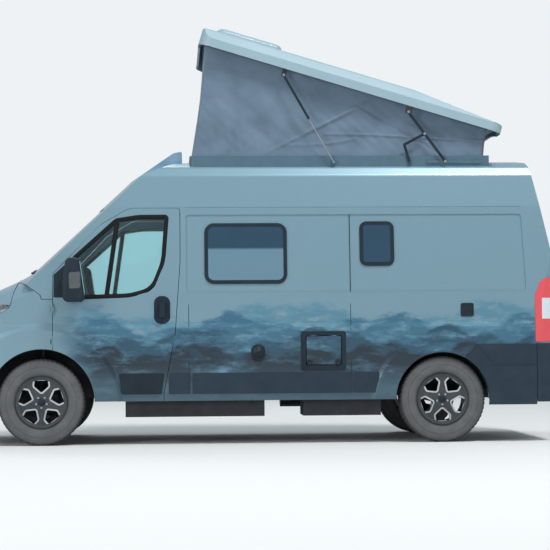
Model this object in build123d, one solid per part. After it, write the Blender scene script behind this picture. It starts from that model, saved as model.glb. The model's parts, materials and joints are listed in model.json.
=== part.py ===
from build123d import *
import functools
import math
import os

# Camper van on a high-roof panel van, millimetres.
# X runs rearwards from the middle of the length, Y to the vehicle's right, Z up from the ground.

# Overall places and sizes
NOSE_X = -2706.5
DOOR_FACE_X = 2688.0
TAIL_X = 2706.5
FRONT_AXLE_X = -1758.5
REAR_AXLE_X = 1691.5
HALF_WIDTH = 1025.0
ROOF_Z = 2490.0
SILL_Z = 374.0
FLOOR_TOP_Z = 540.0
FLOOR_THICK = 40.0
UNDER_Z = 250.0
DRIP_Z = 2038.0

# Walls and gaps
WALL = 60.0
ROOF_WALL = 45.0
BONNET_WALL = 28.0
WING_WALL = 40.0
GAP = 5.0
SEAL = 0.3
GLASS_THICK = 6.0
GLASS_INSET = 8.0
LAMP_DEPTH = 56.0
# The three outlines end on planes of their own, this far apart
PLAN_OVER = 5.0

# Wheels
TYRE_R = 371.0
TYRE_WIDTH = 225.0
RIM_SEAT_R = 203.0
RIM_FLANGE_R = 218.0
RIM_WALL = 12.0
FRONT_WHEEL_Y = 905.0
REAR_WHEEL_Y = 895.0
SPOKES = 5
HUB_R = 62.0
HUB_BACK = -52.0
BRAKE_R = 108.0
FRONT_ARCH_R = 455.0
REAR_ARCH_R = 405.0
FLARE_PROUD = 14.0
FRONT_FLARE_R = 640.0
REAR_FLARE_R = 565.0
WELL_INNER_Y = 590.0
LINER = 14.0
REAR_WELL_INNER_Y = 735.0

# Pop-up roof, drawn closed and then opened about its hinge line
ROOF_HINGE_X = 3020.0
ROOF_HINGE_Z = 2585.0
ROOF_OPEN_DEG = 16.66
POP_FRONT_X = -512.0
POP_REAR_X = 2262.0
POP_BOTTOM_Z = 2465.0
POP_HALF_WIDTH = 850.0
POP_HEIGHT = 172.0
POP_SHOULDER = 160.0
POP_SKIN = 18.0
VENT = (-400, 211, -280, 280)
VENT_HEIGHT = 112.0
BASE_TOP_Z = 2500.0
BASE_HALF_WIDTH = 798.0
BASE_FRONT_X = -480.0
BASE_REAR_X = 2150.0
BASE_RAIL = 100.0
BASE_CORNER_R = 40.0
TENT_HALF_WIDTH = 775.0
TENT_WALL = 6.0
TENT_TOP_FRONT_X = -458.0
TENT_TOP_REAR_X = 2161.0
LINK_Y = 806.0
LINK_THICK = 6.0
LINK_STEP = 8.0
LINK_WIDTH = 24.0
STRUT_Y = 832.0
STRUT_TUBE_R = 11.0
STRUT_TUBE_LENGTH = 444.0
STRUT_ROD_R = 5.0
STRUT_BORE_CLEARANCE = 0.3
STRUT_TOP_CLOSED = (280.5, 2412.0)
STRUT_FOOT = (779.0, 2440.0)
ARM_TOP_CLOSED = (1421.0, 2414.0)
ARM_LENGTH = 540.0
RAIL_PIN_Z = 2446.0
KNEE_SHARE = 0.44
KNEE_FOOT = (1448.0, 2436.0)
KNEE_LENGTH = 165.0
KNEE_LEAN_DEG = 106.0
PIN_R = 6.0
LUG_HALF = 30.0
LUG_THICK = 6.0
BRACKET_TOP_Z = 2460.0

# Body outlines as corners. Side view columns: x, z, corner radius.
SCREEN_FOOT = (-1930.0, 1462.0)
SCREEN_HEAD = (-1060.0, 2264.0)
SIDE = [
    (-2640, UNDER_Z, 40),
    (NOSE_X, 400, 60),
    (NOSE_X, 760, 150),
    (-2655, 960, 200),
    (-2570, 1150, 100),
    (-2230, 1318, 400),
    (-1965, 1428, 0),
    (*SCREEN_FOOT, 0),
    (*SCREEN_HEAD, 250),
    (-600, 2450, 350),
    (-150, ROOF_Z, 900),
    (2380, ROOF_Z, 200),
    (2475, 2480, 60),
    (DOOR_FACE_X, 1500, 900),
    (DOOR_FACE_X, UNDER_Z, 0),
]

# Plan view of the right half. Columns: x, y, corner radius.
PLAN = [
    (NOSE_X - PLAN_OVER, 300, 900),
    (-2668, 640, 300),
    (-2540, 900, 300),
    (-2150, 1012, 900),
    (-1700, HALF_WIDTH + 2, 0),
    (2300, HALF_WIDTH + 2, 0),
    (2560, 1012, 300),
    (DOOR_FACE_X + PLAN_OVER, 960, 90),
]

# Cross-section of the right half from the bottom up. Columns: y, z, corner radius.
SECTION = [
    (965, 0, 0),
    (1012, 560, 80),
    (HALF_WIDTH, 1000, 12),
    (1013, 1036, 12),
    (1004, 1320, 300),
    (930, DRIP_Z, 300),
    (868, 2321, 60),
    (815, 2398, 50),
    (700, 2440, 120),
    (400, 2476, 900),
    (100, ROOF_Z + PLAN_OVER, 600),
]

# Panel outlines in side view. Columns: x, z, corner radius.
CAB_DOOR = [
    (-1658, SILL_Z, 0),
    (-1658, 1468, 60),
    (-1250, 1893, 150),
    (-1000, DRIP_Z - 3.5, 140),
    (-570, DRIP_Z - 3.5, 25),
    (-570, 1574, 300),
    (-615, 956, 400),
    (-713, 442, 60),
    (-713, SILL_Z, 0),
]
CAB_WINDOW = [
    (-1490, 1610, 12),
    (-1120, 1943, 60),
    (-925, 1972, 300),
    (-668, 1974, 30),
    (-700, 1565, 150),
    (-800, 1320, 120),
    (-1000, 1268, 200),
    (-1425, 1254, 12),
]
WING = [
    (-2520, 908, 0),
    (-2520, 1010, 0),
    (-2016, 1260, 0),
    (-1990, 1330, 0),
    (-1960, 1400, 0),
    (-1890, 1375, 20),
    (-1765, 1285, 30),
    (-1760, 1250, 10),
    (-1600, 1250, 0),
    (-1600, SILL_Z, 0),
    (-2150, SILL_Z, 0),
    (-2150, 908, 0),
]
BONNET = [
    (-2750, 1122, 0),
    (-2400, 1187, 300),
    (-2070, 1210, 0),
    (-2021, 1201, 8),
    (-1996, 1330, 0),
    (-1968, 1402, 0),
    (-1968, 1700, 0),
    (-2750, 1700, 0),
]
HEADLAMP = [
    (-2750, 925, 0),
    (-2340, 985, 80),
    (-2018, 1188, 8),
    (-2070, 1202, 0),
    (-2400, 1179, 300),
    (-2750, 1114, 0),
]
TAIL_LAMP = [
    (2505, 861, 12),
    (2505, 1264, 60),
    (2560, 1400, 80),
    (2760, 1452, 0),
    (2760, 861, 0),
]
RECESS = [
    (-516, 1303, 30),
    (-516, 1976, 30),
    (2401, 1976, 30),
    (2432, 1303, 30),
]
REAR_CLADDING = [
    (1890, 321, 0),
    (1890, 735, 0),
    (1998, 844, 20),
    (2512, 844, 0),
    (2512, 321, 0),
]
CLADDING_STEP = [
    (1888, 320, 0),
    (1888, 733, 0),
    (1990, 836, 20),
    (2137, 657, 20),
    (2511, 657, 0),
    (2511, 320, 0),
]

# Rectangles in side view on the left flank. Columns: x low, x high, z low, z high, corner radius.
LEFT_WINDOW = (-326, 323, 1408, 1870, 50)
SMALL_WINDOW = (1018, 1254, 1558, 1882, 30)
SLIDING_DOOR = (-490, 760, 420, DRIP_Z - 3.5, 60)
DOOR_WINDOW = (-193, 456, 1408, 1870, 50)
HATCH_FRAME = (466, 856, 622, 963, 22)
HATCH_LID = (515, 812, 678, 922, 14)
FUEL_FLAP = (-629, -499, 673, 932, 18)
SHORE_INLET = (1859, 1964, 1087, 1196, 10)
WATER_FILLER = (38, 158, 702, 854, 55)
HANDLE_PLATE = (-794, -655, 1035, 1275, 62)
MOULDINGS = [
    (-669, -483, 433, 612, 12),
    (-468, 917, 433, 612, 12),
    (925, 1140, 433, 612, 12),
]
DOOR_MOULDING = [(-1099, 612, 12), (-705, 612, 12), (-730, 433, 12), (-1069, 433, 12)]
SAIL = [(-1652, 1268, 4), (-1652, 1462, 4), (-1500, 1600, 4), (-1440, 1262, 4)]
FRAME_BAND = 32.0
TRIM_PROUD = 12.0
FITTING_PROUD = 5.0
RECESS_DEPTH = 8.0

# Front and rear views. Columns: y, z, corner radius.
SCREEN = [(-895, 1478, 60), (895, 1478, 60), (790, 2050, 70), (-790, 2050, 70)]
REAR_DOOR = [(-781, 545, 30), (-3, 545, 4), (-3, 2330, 4), (-781, 2330, 90)]
REAR_WINDOW = [(-690, 1480, 60), (-110, 1480, 60), (-110, 2110, 60), (-660, 2110, 60)]
GRILLE_HALF_WIDTH = 545.0
GRILLE_LOW_Z = 912.0
GRILLE_HIGH_Z = 1115.0
GRILLE_BARS = 5
INTAKE_HALF_WIDTH = 640.0
INTAKE_LOW_Z = 420.0
INTAKE_HIGH_Z = 640.0

# Hinge lines and the height bands of their barrels
BARREL_R = 5.0
CAB_HINGE = (-1663.5, -1033.5)
NECK_DEPTH = 23.5
CAB_HINGE_BANDS = [(870, 910), (1150, 1190)]
REAR_HINGE = (2696.0, -788.0)
REAR_HINGE_BANDS = [(600, 660), (1488, 1528)]
HATCH_HINGE = (-1029.0, 925.5)
HATCH_HINGE_BANDS = [(555, 595), (732, 772)]
BONNET_HINGE = (-1966.0, 1434.0)
BONNET_HINGE_BANDS = [(-360, -320), (320, 360)]

# Front suspension
STEER_Y = 830.0
LOWER_ARM = (228.0, 256.0)
LOWER_ARM_HALF = 40.0
AXLE_R = 42.0

# Room for solids that are only cut back
FAR = 1400.0


def inset_corners(corners, inset):
    """Moves every side of a closed outline inwards; corners are (u, v, radius)."""
    count = len(corners)
    area = 0
    for i in range(count):
        area += corners[i - 1][0] * corners[i][1] - corners[i][0] * corners[i - 1][1]
    turn = 1 if area > 0 else -1
    lines = []
    for i in range(count):
        u0, v0, _ = corners[i]
        u1, v1, _ = corners[(i + 1) % count]
        length = math.hypot(u1 - u0, v1 - v0)
        du = (u1 - u0) / length
        dv = (v1 - v0) / length
        lines.append((u0 - dv * turn * inset, v0 + du * turn * inset, du, dv))
    moved = []
    for i in range(count):
        ua, va, dua, dva = lines[i - 1]
        ub, vb, dub, dvb = lines[i]
        cross = dua * dvb - dva * dub
        step = ((ub - ua) * dvb - (vb - va) * dub) / cross
        radius = corners[i][2]
        if radius > 0:
            radius = max(radius - inset * math.copysign(1, turn * cross), 0.5)
        moved.append((ua + dua * step, va + dva * step, radius))
    return moved


def outline(corners):
    """Face with straight sides and tangent arcs; corners are (u, v, radius)."""
    points = [Vector(u, v) for u, v, _ in corners]
    count = len(points)
    tangents = []
    for i in range(count):
        radius = corners[i][2]
        here = points[i]
        if radius == 0:
            tangents.append((here, None, here))
            continue
        before = (points[i - 1] - here).normalized()
        after = (points[(i + 1) % count] - here).normalized()
        half = math.radians(before.get_angle(after)) / 2
        reach = radius / math.tan(half)
        middle = here + (before + after).normalized() * (radius / math.sin(half) - radius)
        tangents.append((here + before * reach, middle, here + after * reach))
    edges = []
    for i in range(count):
        start, middle, end = tangents[i]
        if middle is not None:
            edges.append(Edge.make_three_point_arc(start, middle, end))
        following = tangents[(i + 1) % count][0]
        if (following - end).length > 0.001:
            edges.append(Edge.make_line(end, following))
    return Face(Wire(edges))


def rectangle(low_u, high_u, low_v, high_v, radius=0):
    """Corners of a rectangle."""
    corners = [(low_u, low_v), (high_u, low_v), (high_u, high_v), (low_u, high_v)]
    return [(u, v, radius) for u, v in corners]


def both_halves(half):
    """Closed symmetric outline from the corners of its positive half, given as (along, across, radius)."""
    other = [(along, -across, radius) for along, across, radius in reversed(half)]
    return half + other


def prism_y(corners, low_y, high_y):
    """Side-view outline carried along Y."""
    plane = Plane((0, low_y, 0), x_dir=(1, 0, 0), z_dir=(0, -1, 0))
    return extrude(plane * outline(corners), amount=high_y - low_y, dir=(0, 1, 0))


def prism_z(corners, low_z, high_z):
    """Plan outline carried along Z."""
    return extrude(Plane.XY.offset(low_z) * outline(corners), amount=high_z - low_z, dir=(0, 0, 1))


def prism_x(corners, low_x, high_x):
    """Front-view outline carried along X."""
    return extrude(Plane.YZ.offset(low_x) * outline(corners), amount=high_x - low_x, dir=(1, 0, 0))


def block(low_x, high_x, low_y, high_y, low_z, high_z):
    """Box between two corners."""
    size = Box(high_x - low_x, high_y - low_y, high_z - low_z)
    return Pos((low_x + high_x) / 2, (low_y + high_y) / 2, (low_z + high_z) / 2) * size


def rod_y(x, z, radius, low_y, high_y):
    """Cylinder along Y."""
    return Pos(x, (low_y + high_y) / 2, z) * Rot(90, 0, 0) * Cylinder(radius, high_y - low_y)


def mirrored(part):
    """The same piece on the other side of the vehicle."""
    return mirror(part, about=Plane.XZ)


def rod_x(y, z, radius, low_x, high_x):
    """Cylinder along X."""
    return Pos((low_x + high_x) / 2, y, z) * Rot(0, 90, 0) * Cylinder(radius, high_x - low_x)


def rod_z(x, y, radius, low_z, high_z):
    """Cylinder along Z."""
    return Pos(x, y, (low_z + high_z) / 2) * Cylinder(radius, high_z - low_z)


SLOPE_SCREEN = math.degrees(math.atan2(SCREEN_HEAD[1] - SCREEN_FOOT[1], SCREEN_HEAD[0] - SCREEN_FOOT[0]))
SCREEN_BULGE_R = 5800.0
SLOPE_BONNET = 24.5
BONNET_TOP = (-2230, 1331)
# Bonnet crown across the slope. Columns: across, up, corner radius.
CROWN = [(1090, -1700, 0), (1090, -235, 0), (820, -50, 300), (260, 0, 1500)]


def sloped_plane(x, z, degrees):
    """Plane through a point on the middle plane, facing along a rising line; its local x is Y."""
    along = (math.cos(math.radians(degrees)), 0, math.sin(math.radians(degrees)))
    return Plane((x, 0, z), x_dir=(0, 1, 0), z_dir=along)


@functools.cache
def hull(inset):
    """Body between its side, plan and cross-section outlines, each moved inwards."""
    drop = FAR if inset > 0 else 0
    side = [(x, z - drop if z == UNDER_Z else z, radius) for x, z, radius in SIDE]
    section = [(z, y, radius) for y, z, radius in SECTION]
    section = [(across, along, radius) for along, across, radius in both_halves(section)]
    section = [(y, z - drop - FAR if z == 0 else z, radius) for y, z, radius in section]
    solid = prism_x(inset_corners(section, inset), -2 * FAR, 2 * FAR)
    solid &= prism_z(inset_corners(both_halves(PLAN), inset), -2 * FAR, 2 * FAR)
    solid &= prism_y(inset_corners(side, inset), -FAR, FAR)
    return solid


@functools.cache
def cabin(inset):
    """Hull whose windscreen is bowed across the vehicle."""
    plane = sloped_plane(*SCREEN_FOOT, SLOPE_SCREEN)
    reach = 1150.0
    drop = SCREEN_BULGE_R - math.sqrt(SCREEN_BULGE_R**2 - reach**2)
    arc = Edge.make_three_point_arc((-reach, -drop - inset), (0, -inset), (reach, -drop - inset))
    far = -3 * FAR
    sides = [
        Edge.make_line((reach, -drop - inset), (reach, far)),
        Edge.make_line((reach, far), (-reach, far)),
        Edge.make_line((-reach, far), (-reach, -drop - inset)),
    ]
    face = plane * Face(Wire([arc] + sides))
    normal = plane.z_dir
    envelope = extrude(face, amount=3 * FAR, dir=normal) + extrude(face, amount=3 * FAR, dir=-normal)
    return hull(inset) & envelope


@functools.cache
def nose(inset):
    """Hull whose bonnet is crowned across the vehicle."""
    plane = sloped_plane(BONNET_TOP[0], BONNET_TOP[1], SLOPE_BONNET)
    crown = [(up, across, radius) for across, up, radius in CROWN]
    crown = [(across, up, radius) for up, across, radius in both_halves(crown)]
    face = plane * outline(inset_corners(crown, inset))
    ahead = extrude(face, amount=FAR, dir=-plane.z_dir)
    behind = extrude(face, amount=FAR, dir=plane.z_dir)
    return hull(inset) & (ahead + behind)


def wheel_well(axle_x, radius, inner_y):
    """Both sides' round cuts over an axle."""
    left = rod_y(axle_x, TYRE_R, radius, -FAR, -inner_y)
    return left + mirrored(left)


@functools.cache
def flares():
    """Raised rings round the four arches, blending into the skin."""
    rings = None
    for axle_x, radius in ((FRONT_AXLE_X, FRONT_FLARE_R), (REAR_AXLE_X, REAR_FLARE_R)):
        cone = Cone(radius + 160, radius - 140, 120)
        ring = (Pos(axle_x, -HALF_WIDTH, TYRE_R) * Rot(90, 0, 0) * cone) & hull(-FLARE_PROUD)
        ring &= block(-3 * FAR, 3 * FAR, -FAR, 0, SILL_Z, 2 * FAR)
        rings = ring if rings is None else rings + ring
    return rings + mirrored(rings)


@functools.cache
def front_wells():
    return wheel_well(FRONT_AXLE_X, FRONT_ARCH_R, WELL_INNER_Y)


@functools.cache
def rear_wells():
    return wheel_well(REAR_AXLE_X, REAR_ARCH_R, REAR_WELL_INNER_Y)


@functools.cache
def cabin_shell():
    """Cabin wall with its flares and open wheel arches."""
    shell = cabin(0) + flares() - cabin(WALL)
    return shell - front_wells() - rear_wells()


@functools.cache
def nose_shell(wall):
    """Nose wall with its flares and open front arches."""
    shell = nose(0) + flares() - nose(wall)
    return shell - front_wells()


def skin(proud, depth, corners, side=-1):
    """Layer on one flank, from proud of the skin to a depth in it, inside a side-view outline."""
    low, high = (-FAR, -400) if side < 0 else (400, FAR)
    return (hull(-proud) - hull(depth)) & prism_y(corners, low, high)


def inflated(corners, gap=GAP):
    """Outline with a panel gap all round."""
    return inset_corners(corners, -gap)


nodes = {}


# Cab and nose
def left_of(corners):
    return prism_y(corners, -FAR, 0)


def across(corners):
    return prism_y(corners, -FAR, FAR)


door_cut = across(inflated(CAB_DOOR))
lamp_gap = GRILLE_HALF_WIDTH + 10
lamp_cut = across(inflated(HEADLAMP)) - block(-3 * FAR, 0, -lamp_gap, lamp_gap, 0, 2 * FAR)
bonnet_cut = across(inflated(BONNET))
wing_cut = across(inflated(WING)) - block(-3 * FAR, -2100, -FAR, FAR, 0, 2 * FAR)

wing = nose_shell(WING_WALL) & left_of(WING)
wing = wing - door_cut - lamp_cut - bonnet_cut
wing -= block(-3 * FAR, 0, -GRILLE_HALF_WIDTH - 15, FAR, 0, 2 * FAR)
nodes["front_wings"] = wing + mirrored(wing)

lid = (nose(0) - nose(BONNET_WALL)) & across(BONNET)
cowl_hinges = []
hinge_x, hinge_z = BONNET_HINGE
for low, high in BONNET_HINGE_BANDS:
    lid += rod_y(hinge_x, hinge_z, BARREL_R, low, high)
    lid += block(hinge_x - 18, hinge_x, low, high, hinge_z - 26, hinge_z)
    for y_low, y_high in ((low - 30, low - SEAL), (high + SEAL, high + 30)):
        cowl_hinges.append(rod_y(hinge_x, hinge_z, BARREL_R, y_low, y_high))
        cowl_hinges.append(block(hinge_x, hinge_x + 12, y_low, y_high, hinge_z - 30, hinge_z))
nodes["bonnet"] = lid

lamp = (nose(0) - nose(LAMP_DEPTH)) & left_of(HEADLAMP)
lamp_rim = (nose(WING_WALL - 10) - nose(WING_WALL)) & left_of(inflated(HEADLAMP, GAP - SEAL))
lamp = (lamp + lamp_rim) & block(-3 * FAR, 0, -FAR, -GRILLE_HALF_WIDTH - 15, 0, 2 * FAR)
nodes["headlamps"] = lamp + mirrored(lamp)

bumper = nose_shell(WALL) & block(-3 * FAR, -2155, -FAR, FAR, UNDER_Z, 903)
intake_outline = rectangle(-INTAKE_HALF_WIDTH, INTAKE_HALF_WIDTH, INTAKE_LOW_Z, INTAKE_HIGH_Z, 50)
intake = prism_x(intake_outline, -3 * FAR, -2400)
nodes["front_bumper"] = bumper - intake

grille_box = (-3 * FAR, -2400, -GRILLE_HALF_WIDTH, GRILLE_HALF_WIDTH)
grille = (nose(30) - nose(50)) & block(*grille_box, GRILLE_LOW_Z - 9, GRILLE_HIGH_Z)
pitch = (GRILLE_HIGH_Z - GRILLE_LOW_Z) / GRILLE_BARS
for i in range(GRILLE_BARS):
    low = GRILLE_LOW_Z + i * pitch + 6
    grille += (nose(4) - nose(31)) & block(*grille_box, low, low + 18)
lower = (nose(40) - nose(WALL)) & intake
nodes["grille"] = grille + lower

frame = cabin_shell() & block(-1962, -900, -FAR, FAR, 1000, DRIP_Z)
cowl = (nose(0) - nose(WALL)) & block(-1962, -1700, -FAR, FAR, 1300, 1476)
cowl -= cabin(WALL)
frame = frame + cowl
frame = frame - door_cut - wing_cut - bonnet_cut
frame -= prism_x(SCREEN, -2400, -1150)
firewall = cabin(WALL) & block(-1700, -1680, -FAR, FAR, 500, 1400)
firewall -= block(-1750, -1650, -FAR, -WELL_INNER_Y + LINER, 0, TYRE_R + FRONT_ARCH_R + LINER)
firewall -= block(-1750, -1650, WELL_INNER_Y - LINER, FAR, 0, TYRE_R + FRONT_ARCH_R + LINER)
liner = rod_y(FRONT_AXLE_X, TYRE_R, FRONT_ARCH_R + LINER, -FAR, -WELL_INNER_Y + LINER)
liner -= rod_y(FRONT_AXLE_X, TYRE_R, FRONT_ARCH_R, -FAR, -WELL_INNER_Y)
liner &= nose(WING_WALL)
liner &= block(-3 * FAR, 0, -FAR, 0, SILL_Z + 30, 2 * FAR)
# Behind the door the liner stays, inside the door's inner skin
liner -= door_cut - cabin(WALL + SEAL)
liner -= nodes["front_bumper"]
for piece in cowl_hinges:
    frame += piece
nodes["cab_frame"] = frame
liner = liner - frame - firewall
nodes["front_bulkhead"] = firewall + liner + mirrored(liner)

nodes["windscreen"] = (cabin(GLASS_INSET) - cabin(GLASS_INSET + GLASS_THICK)) & prism_x(SCREEN, -2400, -1150)

# Cab doors, their glass and their trim
door = cabin_shell() & left_of(CAB_DOOR)
door = door - left_of(CAB_WINDOW)
door_glass = (cabin(GLASS_INSET) - cabin(GLASS_INSET + GLASS_THICK)) & left_of(CAB_WINDOW)

MIRROR = [(-1560, 1226, 40), (-1562, 1400, 80), (-1536, 1601, 55), (-1425, 1601, 45), (-1372, 1226, 45)]
MIRROR_Y = (-1254, -1068)
MIRROR_ROUND = 24.0
housing = prism_y(MIRROR, *MIRROR_Y)
housing = fillet(housing.faces().sort_by(Axis.Y)[0].edges(), MIRROR_ROUND)
arm = prism_y([(-1590, 1262, 20), (-1430, 1262, 20), (-1450, 1330, 20), (-1560, 1360, 20)], -1130, -900)
arm -= hull(0)
housing += arm
plate = skin(3, 0, rectangle(*HANDLE_PLATE))
grip = block(-748, -702, -1062, -1010, 1090, 1225) - block(-760, -690, -1048, -1000, 1112, 1203)
plate += grip - hull(3)
door_bar = skin(TRIM_PROUD, 0, DOOR_MOULDING)
sail = skin(4, 0, SAIL) - left_of(CAB_WINDOW)
for low, high in CAB_HINGE_BANDS:
    body_barrel = rod_z(*CAB_HINGE, BARREL_R, low - 30, low - SEAL)
    body_barrel += rod_z(*CAB_HINGE, BARREL_R, high + SEAL, high + 30)
    neck = Pos(*CAB_HINGE, 0) * block(-12, 0, 0, NECK_DEPTH, low - 30, low - SEAL)
    neck += Pos(*CAB_HINGE, 0) * block(-12, 0, 0, NECK_DEPTH, high + SEAL, high + 30)
    fixed_half = body_barrel + neck
    notch = Pos(*CAB_HINGE, 0) * block(-14, 20, -12, 32, low - SEAL, high + SEAL)
    nodes["front_wings"] = nodes["front_wings"] + fixed_half + mirrored(fixed_half) - notch - mirrored(notch)
    door += rod_z(*CAB_HINGE, BARREL_R, low, high)
    door += block(CAB_HINGE[0], CAB_HINGE[0] + 14, CAB_HINGE[1], CAB_HINGE[1] + NECK_DEPTH, low, high)
trim = housing - hull(4) + sail
for side_name, flip in (("left", False), ("right", True)):
    pieces = {
        "cab_door_" + side_name: door,
        "cab_door_glass_" + side_name: door_glass,
        "cab_door_trim_" + side_name: trim + plate + door_bar - door,
    }
    for name, piece in pieces.items():
        nodes[name] = mirrored(piece) if flip else piece

# Load space walls
flank = cabin_shell() & block(-900, 3 * FAR, -FAR, -784, SILL_Z, DRIP_Z)
flank -= door_cut
recess = across(RECESS) - hull(RECESS_DEPTH)
lamp_room = across(inflated(TAIL_LAMP, SEAL)) - hull(LAMP_DEPTH - 10 + SEAL)
flank = flank - recess - lamp_room
for low, high in REAR_HINGE_BANDS:
    for z_low, z_high in ((low - 30, low - SEAL), (high + SEAL, high + 30)):
        flank += rod_z(*REAR_HINGE, BARREL_R, z_low, z_high)
        flank += block(REAR_HINGE[0] - 34, REAR_HINGE[0], REAR_HINGE[1] - 6, REAR_HINGE[1], z_low, z_high)
right_flank = mirrored(flank)


def hole(rect, side=-1):
    low, high = (-FAR, -400) if side < 0 else (400, FAR)
    return prism_y(rectangle(*rect), low, high)


def framed(rect, side=-1):
    """Black outer frame of a camper window and its tinted pane."""
    pane = rectangle(*rect)
    ring = skin(2, RECESS_DEPTH, inflated(pane, FRAME_BAND), side)
    ring -= hole(rect, side)
    glass = (hull(-5) - hull(20)) & hole(rect, side)
    return ring, glass


left_ring, left_glass = framed(LEFT_WINDOW)
small_ring, small_glass = framed(SMALL_WINDOW)
right_ring, right_glass = framed(DOOR_WINDOW, 1)
rear_ring, rear_glass = framed(SMALL_WINDOW, 1)
hatch_hole = hole((HATCH_LID[0] - 6, HATCH_LID[1] + 6, HATCH_LID[2] - 6, HATCH_LID[3] + 6, 16))
fuel_flap = skin(2, 0, rectangle(*FUEL_FLAP)) - flares()
nodes["side_left"] = flank + fuel_flap - hole(LEFT_WINDOW) - hole(SMALL_WINDOW) - hatch_hole
right_flank -= hole(SMALL_WINDOW, 1)
right_flank -= prism_y(inflated(rectangle(*SLIDING_DOOR)), 400, FAR)
nodes["side_right"] = right_flank
slider = mirrored(flank) & prism_y(rectangle(*SLIDING_DOOR), 400, FAR)
flange = (hull(30) - hull(42)) & prism_y(inflated(rectangle(*SLIDING_DOOR), GAP - SEAL), 400, FAR)
slider += flange & block(-FAR, FAR, 0, FAR, 0, DRIP_Z - SEAL)
nodes["sliding_door"] = slider - hole(DOOR_WINDOW, 1)
nodes["window_frames"] = left_ring + small_ring + right_ring + rear_ring
nodes["window_panes"] = left_glass + small_glass + right_glass + rear_glass

roof_low = DRIP_Z + SEAL
roof = (cabin(0) - cabin(ROOF_WALL)) & block(-3 * FAR, 3 * FAR, -FAR, FAR, roof_low, 3 * FAR)
roof -= prism_x(SCREEN, -2400, -1150)
base_block = block(BASE_FRONT_X, BASE_REAR_X, -BASE_HALF_WIDTH, BASE_HALF_WIDTH, 2400, BASE_TOP_Z)
base_block = fillet(base_block.edges().filter_by(Axis.Z).group_by(Axis.X)[0], BASE_CORNER_R)
roof -= block(BASE_FRONT_X, BASE_REAR_X, -BASE_HALF_WIDTH, BASE_HALF_WIDTH, 2470, 2 * ROOF_Z)
OPENING = (BASE_FRONT_X + BASE_RAIL, BASE_REAR_X - BASE_RAIL, -690, 690)
roof -= block(*OPENING, 2300, 2 * ROOF_Z)
rear_cut = prism_x(inset_corners(REAR_DOOR, -GAP), 2300, 3 * FAR)
roof = roof - rear_cut - mirrored(rear_cut)
roof -= block(-905, -590, -480, 480, 2200, 3 * FAR)
nodes["roof_panel"] = roof

# Skylight hood over the cab
HOOD = [(-1000, 2200, 0), (-1000, 2288, 0), (-620, 2548, 60), (-545, 2562, 15), (-540, 2200, 0)]
HOOD_PANE = [(-930, 2290, 0), (-640, 2490, 0), (-640, 2700, 0), (-930, 2700, 0)]
hood = prism_y(HOOD, -560, 560) - cabin(0)
hood -= prism_y(inset_corners(HOOD, 14), -540, 540) - cabin(0)
hood_pane = prism_y(HOOD_PANE, -470, 470) & hood
nodes["cab_skylight"] = hood - hood_pane
nodes["cab_skylight_pane"] = hood_pane

# Rear doors
rear_shell = (hull(0) - hull(WALL)) & block(2300, 3 * FAR, -FAR, FAR, 0, 3 * FAR)
rear_panel = rear_shell & prism_x(REAR_DOOR, 2300, 3 * FAR)
rear_opening = prism_x(REAR_WINDOW, 2300, 3 * FAR)
rear_pane = (hull(GLASS_INSET) - hull(GLASS_INSET + GLASS_THICK)) & rear_opening
rear_pane &= block(2300, 3 * FAR, -FAR, 0, 0, 3 * FAR)
rear_panel -= rear_opening
for low, high in REAR_HINGE_BANDS:
    rear_panel += rod_z(*REAR_HINGE, BARREL_R, low, high)
    rear_panel += block(REAR_HINGE[0] - 7, REAR_HINGE[0], REAR_HINGE[1], REAR_HINGE[1] + 17, low, high)
    rear_panel += block(REAR_HINGE[0] - 34, REAR_HINGE[0], REAR_HINGE[1] + 7, REAR_HINGE[1] + 17, low, high)
nodes["rear_door_left"] = rear_panel
nodes["rear_door_right"] = mirrored(rear_panel)
nodes["rear_door_glass_left"] = rear_pane
nodes["rear_door_glass_right"] = mirrored(rear_pane)

# Rear bumper, lamps and cladding
BUMPER_PROUD = TAIL_X - DOOR_FACE_X
BUMPER_X = 2516.0
bumper_zone = block(BUMPER_X, 3 * FAR, -FAR, FAR, 342, 847)
rear_bumper = (hull(-BUMPER_PROUD) - hull(0)) & bumper_zone
rear_bumper -= block(2300, 3 * FAR, -795, 795, 536, 3 * FAR)
rear_bumper += hull(-BUMPER_PROUD) & block(2600, 3 * FAR, -780, 780, 342, 536)
nodes["rear_bumper"] = rear_bumper
tail = (hull(-4) - hull(LAMP_DEPTH - 10)) & left_of(TAIL_LAMP)
tail &= block(2300, 3 * FAR, -FAR, -796, 0, 3 * FAR)
nodes["tail_lamps"] = tail + mirrored(tail)
cladding = skin(FLARE_PROUD + 1, 0, REAR_CLADDING) + skin(FLARE_PROUD + 10, 0, CLADDING_STEP)
cladding = cladding - rear_wells() - flares() - lamp_room
for rect in MOULDINGS:
    cladding += skin(TRIM_PROUD, 0, rectangle(*rect)) - rear_wells() - flares()
nodes["side_mouldings"] = cladding + mirrored(cladding)

fittings = skin(FITTING_PROUD, 0, rectangle(*SHORE_INLET)) + skin(FITTING_PROUD, 0, rectangle(*WATER_FILLER))
hatch_ring = skin(FITTING_PROUD, 0, rectangle(*HATCH_FRAME)) - hatch_hole
lid = skin(4, 8, rectangle(*HATCH_LID))
for low, high in HATCH_HINGE_BANDS:
    for x_low, x_high in ((low - 25, low - SEAL), (high + SEAL, high + 25)):
        hatch_ring += rod_x(*HATCH_HINGE, BARREL_R, x_low, x_high)
    hatch_ring -= block(low - SEAL, high + SEAL, -FAR, 0, HATCH_HINGE[1] - 10, HATCH_HINGE[1] + BARREL_R + 1)
    lid -= block(low - 26, high + 26, -FAR, -1010, HATCH_HINGE[1] - BARREL_R - 1, HATCH_HINGE[1])
    lid += rod_x(*HATCH_HINGE, BARREL_R, low, high)
    lid += block(low, high, HATCH_HINGE[0] - 2, HATCH_HINGE[0] + 9, HATCH_HINGE[1] - 9, HATCH_HINGE[1])
fittings += hatch_ring
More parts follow.
